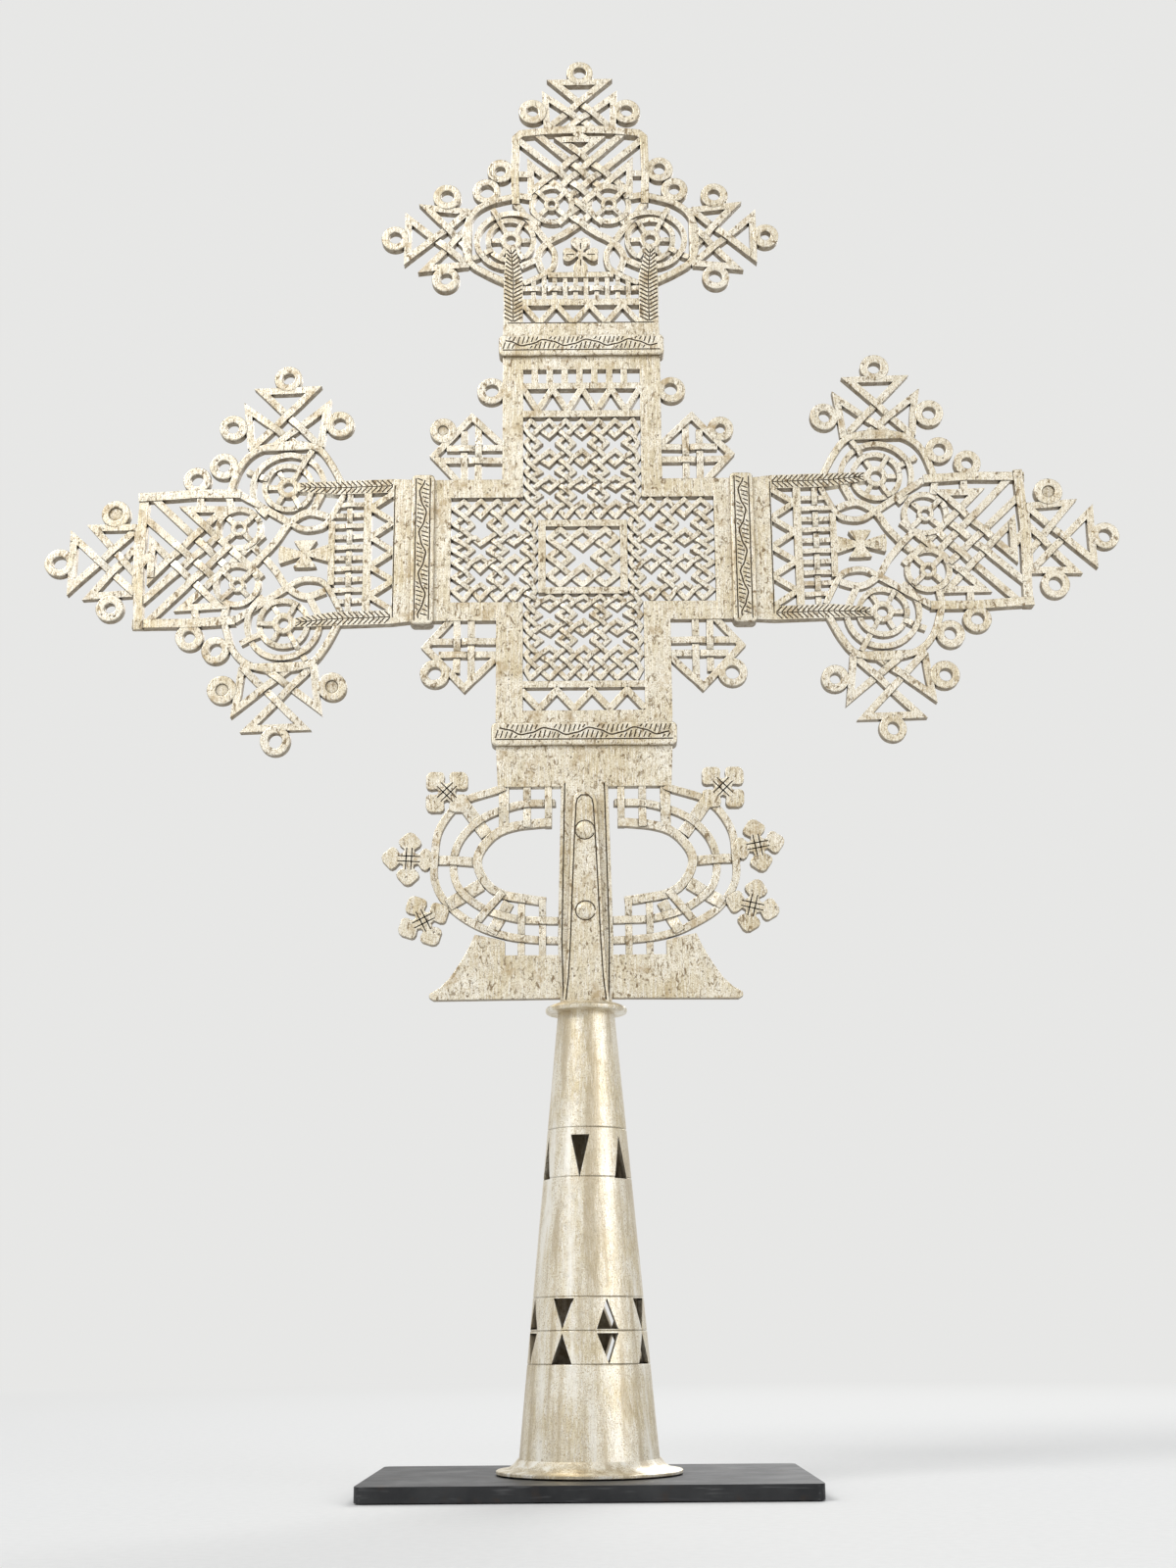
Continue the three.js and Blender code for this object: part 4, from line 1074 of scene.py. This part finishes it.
# Brackets in the four corners: side, where they start across, up or down, and from what height.
BRACKETS = ((1, UP_HALF_TOP, 1, BAR_HIGH), (-1, UP_HALF_TOP, 1, BAR_HIGH),
            (1, UP_HALF_FOOT, -1, BAR_LOW), (-1, UP_HALF_FOOT, -1, BAR_LOW))
UPPER_LEFT = 1


def corner(bracket, *points):
    side, x0, up, z0 = bracket
    return [(side * (x0 + p), z0 + up * q) for p, q in points]


def bracket_straps(bracket):
    straps = [(corner(bracket, (17, -1), (27, 10.5), (12, 27), (-1, 14)), STRAP)]
    for k in range(2):
        p, q = 9.5 + 5.5 * k, 8.3 + 5.3 * k
        straps.append((corner(bracket, (p, -1), (p, 24.5 - 3.5 * k)), STRAP))
        straps.append((corner(bracket, (-1, q), (25 - 3 * k, q)), STRAP))
    return straps


panel = open_sheet("panel")
for side in (1, -1):
    for outline in (
            [(LATTICE_HALF, PANEL_LOW), (UP_HALF_FOOT, PANEL_LOW), (UP_HALF_FOOT, 321),
             (LATTICE_HALF, 322.5)],
            [(LATTICE_HALF, 366.2), (UP_HALF_TOP, 367.5), (UP_HALF_TOP, PANEL_HIGH),
             (LATTICE_HALF, PANEL_HIGH)],
            [(51.3, BAR_LOW), (66, BAR_LOW), (66, BAR_HIGH), (51.3, BAR_HIGH)],
            [(24.4, BAR_LOW), (52, BAR_LOW), (52, 322.6), (24, 322.6)],
            [(24, 366.1), (52, 366.1), (52, BAR_HIGH), (24.4, BAR_HIGH)]):
        patch([(side * x, z) for x, z in outline])
for low, high in ((PANEL_LOW, 278.6), (421.3, PANEL_HIGH)):
    patch([(-CROSSBAR_HALF, low), (CROSSBAR_HALF, low), (CROSSBAR_HALF, high),
           (-CROSSBAR_HALF, high)])
for height, width in ((289, 2.8), (402, 3.0), (414.2, 2.7)):
    flat([(-CROSSBAR_HALF, height), (CROSSBAR_HALF, height)], width)
for i in range(7):
    x = -LATTICE_HALF + 4.6 + 5.93 * i
    flat([(x, 413.5), (x, 422)], 2.6)
flat(zigzag(-LATTICE_HALF, LATTICE_HALF, 413.2, 403.4, 8), 2.5)
flat(zigzag(-LATTICE_HALF - 0.5, LATTICE_HALF, 286.7, 279.2, 7), 2.6)
for bar in ([(-15.9, 326.2), (-15.9, 356.6)], [(15.9, 326.2), (15.9, 356.6)],
            [(-14.6, 327.2), (15.9, 327.2)], [(-14.6, 355.2), (15.9, 355.2)]):
    flat(bar, 2.9)
close_sheet(panel, PLATE, EDGE)

strands = open_sheet("strands")
plait(lattice_cells(), lattice_spot, 1.85, 0.85)
plait([(i, j) for i in range(3) for j in range(3) if (i, j) != (1, 1)], square_spot, 2.3, 1.1)
for bracket in BRACKETS:
    weave(bracket_straps(bracket))
close_sheet(strands, WOVEN, EDGE, rubbed=1.0)

loops = open_sheet("loops")
bracket_rings = [corner(bracket, (23.3, 21.2))[0] for bracket in BRACKETS]
for x, z in bracket_rings + [(-UP_HALF_TOP - 4.3, 412.3), (UP_HALF_TOP + 4.3, 412.3)]:
    washer(x, z, *RING)
close_sheet(loops, RIM, 0.5, 3, rubbed=0.6)
finish_casting("middle_casting", "centre_panel",
               [panel, strands, loops, blind_eyes([bracket_rings[UPPER_LEFT]])])


# Lower frame: everything is given for its right half.

BOWS = ((((30, 248.6), (32.5, 247.5), (46, 243), (54, 233), (55.8, 222), (55.5, 212), (50, 203),
          (40, 196), (26.5, 191.3), (10, 190)), 2.8),
        (((11, 242.5), (25.5, 241.5), (37.5, 237), (46, 229), (48.9, 219.5), (46.5, 209.5),
          (37, 202), (25, 198.3), (10, 197.5)), 2.8),
        (((12.4, 234.7), (25, 233.8), (34, 230), (39.9, 221.5), (37.5, 213), (30, 207.3),
          (14.5, 204.8)), 3.3))
# Bars that tie the bows: upright ones above and below, then those across the bows.
TIES = (((13.6, 233.0), (13.6, 249.5), 2.7), ((21.6, 233.0), (21.6, 249.5), 2.9),
        ((30.2, 233.0), (30.2, 249.5), 3.8), ((15.9, 183.5), (15.9, 205.2), 2.6),
        ((23.6, 183.5), (23.6, 206.0), 2.6), ((38.5, 219.8), (57.5, 220.8), 3.4),
        ((36.6, 230.0), (46.4, 243.6), 4.8), ((38.4, 211.4), (50.6, 203.6), 4.8),
        ((30.6, 208.4), (41.0, 196.0), 2.8), ((28.2, 204.4), (34.6, 193.0), 4.2))
# The small crosses on each side: their middles and how far they are turned.
SMALL_CROSSES = {1: ((51.9, 248.0, 45), (64.2, 225.4, 11), (61.6, 202.6, -14)),
                 -1: ((51.6, 246.8, 45), (65.4, 221.2, 3), (59.6, 197.8, -27))}
# The foot wing and the gusset above it.
WING = [(9.2, 168.6), (55.6, 168.2), (57.2, 169.2), (57.0, 170.6), (53.6, 172.6), (50.0, 176.0),
        (46.6, 181.0), (44.5, 184.6), (9.2, 184.6)]
WING_TOP = [(29.6, 184.0), (44.8, 184.0), (42.6, 188.0), (40.6, 192.4), (33, 190.8), (29.6, 189.8)]

frame_plates = open_sheet("frame plates")
patch([(-32.6, 248.5), (32.6, 248.5), (33.5, 268.8), (-33.5, 268.8)])
patch([(-6, 152.2), (6, 152.2), (6, NECK), (9.4, NECK), (10.2, 189.6), (8.8, 249.5),
       (-8.8, 249.5), (-10.2, 189.6), (-9.4, NECK), (-6, NECK)])
for side in (1, -1):
    for outline in (WING, WING_TOP):
        patch([(side * x, z) for x, z in outline])
    for x, z, turn in SMALL_CROSSES[side]:
        for k in range(4):
            outline = limb((0, 0), turn - 90 + 90 * k, SQUARE_LIMB, 0.94, 0.92)
            patch([(side * (x + u), z + v) for u, v in outline])
close_sheet(frame_plates, PLATE, 0.25)

bows = open_sheet("bows")
for side in (1, -1):
    straps = [(curved([(side * x, z) for x, z in points], 2.2), width) for points, width in BOWS]
    straps += [([(side * x, z) for x, z in (start, end)], width) for start, end, width in TIES]
    weave(straps)
close_sheet(bows, WOVEN, 0.22, rubbed=0.7)

# Double lines along both limbs of the small crosses, and a line down each side of the stem.
lengthwise, crosswise = [], []
for side in (1, -1):
    for x, z, turn in SMALL_CROSSES[side]:
        c, s = math.cos(math.radians(turn)), math.sin(math.radians(turn))
        for offset in (-1.0, 1.0):
            for group, ends in ((lengthwise, ((-4.2, offset), (4.2, offset))),
                                (crosswise, ((offset, -4.2), (offset, 4.2)))):
                line = [(side * (x + u * c - v * s), z + u * s + v * c) for u, v in ends]
                group.append((line, 0.45))
    lengthwise.append(([(side * x, z) for x, z in ((7.4, 250), (8.7, 190), (8.2, 167))], LINE))
finish_casting("lower_casting", "lower_frame", [frame_plates, bows], (lengthwise, crosswise))


# Bands

BAND_TALL = 9.2
BAND_DEEP = 7.0
# The side bands' distance from the middle.
BAND_OUT = 62.2
# Spacing of the hatching and of the stations of the vine.
HATCH_STEP = 1.8
VINE_STEP = 0.8


def vine_at(x):
    return 1.25 * math.sin(x * 2 * math.pi / 17 + 0.6) + 0.2 * math.sin(x * 1.1)


def sleeve(name, node_name, half, low, high, place):
    """A rounded collar over a joint, with a vine and hatching between two lines."""
    bpy.ops.object.select_all(action="DESELECT")
    bpy.ops.mesh.primitive_cube_add(size=1)
    piece = bpy.context.object
    piece.name = piece.data.name = name
    end, top = half + 1.6, BAND_TALL / 2
    piece.scale = (2 * end * MM, BAND_DEEP * MM, BAND_TALL * MM)
    bpy.ops.object.transform_apply(location=False, rotation=False, scale=True)

    # The four edges that run from front to back are rounded first.
    bpy.ops.object.mode_set(mode="EDIT")
    bpy.ops.mesh.select_all(action="DESELECT")
    mesh = bmesh.from_edit_mesh(piece.data)
    for edge in mesh.edges:
        one, other = (corner.co for corner in edge.verts)
        edge.select = abs(one.x - other.x) < TINY and abs(one.z - other.z) < TINY
    bmesh.update_edit_mesh(piece.data)
    bpy.ops.mesh.bevel(offset=2.0 * MM, segments=5)

    # Cuts across the band, whose corners then drift a little up or down.
    for k in range(1, 12):
        bpy.ops.mesh.select_all(action="SELECT")
        bpy.ops.mesh.bisect(plane_co=((k / 6 - 1) * (end - 2.5) * MM, 0, 0), plane_no=(1, 0, 0))
    mesh = bmesh.from_edit_mesh(piece.data)
    for v in mesh.verts:
        if abs(v.co.x) < (end - 2) * MM:
            seed = Vector((v.co.x * 90, math.copysign(3, v.co.z), half))
            v.co.z += 0.3 * MM * noise.noise(seed)
    bmesh.update_edit_mesh(piece.data)
    bpy.ops.object.mode_set(mode="OBJECT")
    round_edges(piece, 0.7, 3)

    vine, hatch, edges = [], [], []
    middle = (low + high) / 2
    for level in (-BAND_DEEP / 2, BAND_DEEP / 2):
        vine.append(([(x * VINE_STEP, middle + vine_at(x * VINE_STEP), level)
                      for x in range(int(-half / VINE_STEP) + 1, int(half / VINE_STEP))], 0.6))
        for k in range(int(2 * half / HATCH_STEP)):
            x = -half + 0.8 + HATCH_STEP * k
            here = middle + vine_at(x)
            if here - low > 2.3:
                hatch.append(([(x - 0.7, low + 0.55, level), (x + 0.2, here - 0.8, level)], LINE))
            if high - here > 2.3:
                hatch.append(([(x - 0.2, here + 0.8, level), (x + 0.7, high - 0.5, level)], LINE))
        for z in (low, high):
            if top - z > 1:
                edges.append(([(-half, z, level), (half, z, level)], LINE))
    score_all(piece, (vine, hatch, edges))
    piece.data.transform(place)
    shade(piece)
    dress(piece, node_name)


upright = Matrix.Rotation(math.pi / 2, 4, "Y")
for name, node_name, half, low, high, spot, turn in (
        ("top_band", "band_top", 31.4, -2.2, 4.1, (0, 0, HIGH_JOINT), Matrix()),
        ("bottom_band", "band_bottom", 33.5, -2.2, 4.1, (0, 0, LOW_JOINT), Matrix()),
        ("right_band", "band_right", 29.6, -2.8, 2.8, (BAND_OUT, 0, CENTRE), upright),
        ("left_band", "band_left", 29.6, -2.8, 2.8, (-BAND_OUT, 0, CENTRE), upright)):
    sleeve(name, node_name, half, low, high, Matrix.Translation(Vector(spot) * MM) @ turn)


# Socket and neck

CONE_FOOT, CONE_TOP = 24.6, 10.3
BORE_FOOT, BORE_TOP = 22.6, 8.3
SCRIBED = (41.2, 52.2, 63.4, 104, 121.2)


def cone_radius(z):
    return CONE_FOOT + (CONE_TOP - CONE_FOOT) * (z - FOOT) / (COLLAR - FOOT)


def window(degrees, foot, height, point_up, half=3.3):
    """A wedge that cuts a triangular window, from inside the bore to well outside the socket."""
    base, tip = (foot, foot + height) if point_up else (foot + height, foot)
    bpy.ops.object.select_all(action="DESELECT")
    bpy.ops.mesh.primitive_cylinder_add(vertices=3, radius=1, depth=1)
    cutter = bpy.context.object
    corners = sorted(cutter.data.vertices, key=lambda v: round(math.atan2(v.co.y, v.co.x), 3))
    for k, (x, z) in enumerate([(-half, base), (half, base), (0, tip)]):
        for v in corners[2 * k:2 * k + 2]:
            v.co = Vector((x, -40 if v.co.z > 0 else -4, z)) * MM
    cutter.data.transform(Matrix.Rotation(math.radians(degrees), 4, "Z"))
    bpy.ops.object.mode_set(mode="EDIT")
    bpy.ops.mesh.select_all(action="SELECT")
    bpy.ops.mesh.normals_make_consistent(inside=False)
    bpy.ops.object.mode_set(mode="OBJECT")
    return cutter


# The cone with its scribed rings, and its bore.
cone_profile = [(cone_radius(FOOT), FOOT)]
for z in SCRIBED:
    cone_profile += [(cone_radius(z - 0.35), z - 0.35), (cone_radius(z) - 0.25, z),
                     (cone_radius(z + 0.35), z + 0.35)]
cone_profile += [(CONE_TOP, COLLAR), (BORE_TOP, COLLAR), (BORE_FOOT, FOOT), (CONE_FOOT, FOOT)]
socket = turned("socket", cone_profile, 96)

# One high row of windows and a low double row, which point up and down by turns.
cutters = [window(-10 + 60 * i, FOOT + 98.2, 15, i % 2 == 1) for i in range(6)]
for i in range(8):
    cutters.append(window(-26 + 45 * i, FOOT + 35.9, 10.2, i % 2 == 0, 3.9))
    cutters.append(window(-26 + 45 * i, FOOT + 47.4, 10.2, i % 2 == 1, 3.9))
windows = join("windows", cutters)
for piece in (socket, windows):
    piece.data.materials.append(sheen_painted_brass)
engrave(socket, windows)
# The bore gets painted shade, the outside does not.
mark(socket, "wall_shade", [float(math.hypot(v.co.x, v.co.y) < (cone_radius(v.co.z / MM) - 1.2) * MM)
                      for v in socket.data.vertices])
shade(socket, 30, even=True)
dress(socket, "socket_cone")

for name, node_name, profile, steps in (
        ("foot_ring", "foot_flange",
         [(24.9, FOOT), (31.6, FOOT), (32, 5.6), (32, 6.4), (31.6, 6.7), (28, 7.2), (26, 8.6),
          (24.6, 10.3), (24.3, 10.3), (24.9, FOOT)], 96),
        ("collar", "neck_collar",
         [(7.2, COLLAR), (14, COLLAR), (14.6, 163.3), (14.8, 163.8), (14.8, 164.6), (14.3, 165.2),
          (12.6, 166.0), (12, NECK), (7.2, NECK), (7.2, COLLAR)], 64)):
    piece = turned(name, profile, steps)
    shade(piece, 30, even=True)
    dress(piece, node_name, sheen_painted_brass)

CLAMP_THICK = 3.0
CLAMP_MIDDLE = 3.5


def clamp_outline(inset=0.0):
    """The tapered strap over the stem, with a round-cornered top."""
    half = [(8.6, NECK), (7.6, 176), (6.8, 190), (6.2, 205), (5.2, 228), (4.5, 242.0),
            (4.0, 244.3), (2.6, 245.7)]
    half = [(x - inset, z - (inset if z > 240 else 0)) for x, z in half]
    return half + mirrored(half)[::-1]


for name, node_name, face in (("front_clamp", "front_strap", -1), ("back_clamp", "back_strap", 1)):
    piece = open_sheet(name)
    patch(clamp_outline(), face * CLAMP_MIDDLE)
    close_sheet(piece, CLAMP_THICK, 0.6, 3)
    outside = face * (CLAMP_MIDDLE + CLAMP_THICK / 2)
    border = [(x, max(z, NECK + 1.3), outside) for x, z in clamp_outline(1.3)]
    rounds = [([(x, z, outside) for x, z in round_line(0, height, 3.6, 0, 340, 24)], 0.45)
              for height in (LOW_RIVET, HIGH_RIVET)]
    score_all(piece, ([(border, LINE)], rounds))
    shade(piece)
    dress(piece, node_name)

RIVET = [(0, -5.5), (1.8, -5.45), (2.8, -5.3), (3.2, -5.1), (3.3, -4.8), (1.9, -4.6), (1.9, 4.6),
         (3.3, 4.8), (3.2, 5.1), (2.8, 5.3), (1.8, 5.45), (0, 5.5)]
for name, node_name, height in (("low_rivet", "rivet_lower", LOW_RIVET),
                                ("high_rivet", "rivet_upper", HIGH_RIVET)):
    piece = turned(name, RIVET, 32)
    piece.data.transform(Matrix.Translation((0, 0, height * MM))
                         @ Matrix.Rotation(math.pi / 2, 4, "X"))
    shade(piece, 50, even=True)
    dress(piece, node_name, brass)


# Stand: these pieces keep their own shapes and get their finishes.

dark_plate = plate_steel("plate steel")
bare_steel = turned_steel("turned steel")
for name, finish in (("base_plate", dark_plate), ("stand_plug", bare_steel),
                     ("plug_screw", bare_steel)):
    bpy.data.objects[name].data.materials.clear()
    bpy.data.objects[name].data.materials.append(finish)


# Studio

# The floor lies a hair under the plate.
bpy.ops.mesh.primitive_circle_add(vertices=64, radius=6, fill_type="NGON",
                                  location=(0, 0, -0.0004))
floor = bpy.context.object
floor.name = "floor"
paper = Finish("pale paper")
grain = paper.clouds(paper.place, 300, 2)
paper.surface(paper.ramp(grain, (0.3, (0.78, 0.78, 0.77)), (0.7, (0.81, 0.81, 0.80))), 0.9)
# Far from the object the floor fades to the colour of the backdrop.
distance = paper.node("ShaderNodeVectorMath", {0: paper.place}, operation="LENGTH")
far = paper.ramp(paper.calc("MULTIPLY", distance.outputs["Value"], 0.4), (0.16, 0.0), (0.6, 1.0))
rays = paper.node("ShaderNodeLightPath", {}).outputs
haze = paper.node("ShaderNodeEmission", {"Color": BACKDROP, "Strength": 1.0})
fade = paper.node("ShaderNodeMixShader", {
    0: paper.calc("MULTIPLY", far, rays["Is Camera Ray"]), 1: paper.shader.outputs[0],
    2: haze.outputs[0]})
paper.fill(paper.tree.nodes["Material Output"], {"Surface": fade.outputs[0]})
floor.data.materials.append(paper.material)

# The room lights the object softly; the camera and the metal see a plain pale backdrop.
world = bpy.data.worlds.new("studio")
bpy.context.scene.world = world
world.use_nodes = True
room = Graph(world.node_tree)
light = room.fill(room.tree.nodes["Background"], {"Color": (0.95, 0.97, 1.0, 1),
                                                  "Strength": 0.45})
seen = room.node("ShaderNodeBackground", {"Color": BACKDROP, "Strength": 1.0})
rays = room.node("ShaderNodeLightPath", {}).outputs
mirrors = room.calc("MAXIMUM", rays["Is Transmission Ray"], rays["Is Glossy Ray"])
blend = room.node("ShaderNodeMixShader", {
    0: room.calc("MAXIMUM", rays["Is Camera Ray"], mirrors), 1: light.outputs[0],
    2: seen.outputs[0]})
room.fill(room.tree.nodes["World Output"], {"Surface": blend.outputs[0]})

for name, place, aim, size, watts in (("key", (-1.5, -1.5, 2.1), (0, 0, 0.32), 1.3, 40),
                                      ("fill", (1.3, -1.1, 0.7), (0, 0, 0.3), 1.2, 6),
                                      ("back", (0.5, 1.5, 1.3), (0, 0, 0.3), 1.0, 14)):
    bpy.ops.object.light_add(type="AREA", location=place)
    lamp = bpy.context.object
    lamp.name = name
    lamp.data.shape = "DISK"
    lamp.data.size = size
    lamp.data.energy = watts
    lamp.rotation_euler = (Vector(aim) - Vector(place)).to_track_quat("-Z", "Y").to_euler()

# The camera stands low in front of the cross, looks up a little and is rolled slightly.
bpy.ops.object.camera_add(location=(0.0013, -0.7015, 0.0515))
camera = bpy.context.object
camera.data.lens = 44.53
camera.data.sensor_width = 36
camera.data.clip_start = 0.01
camera.data.clip_end = 50
camera.rotation_euler = (Euler((math.radians(105.8), 0, 0)).to_matrix()
                         @ Matrix.Rotation(math.radians(-0.45), 3, "Z")).to_euler()
bpy.context.scene.camera = camera
bpy.context.scene.view_settings.view_transform = "Standard"

bpy.context.view_layer.update()
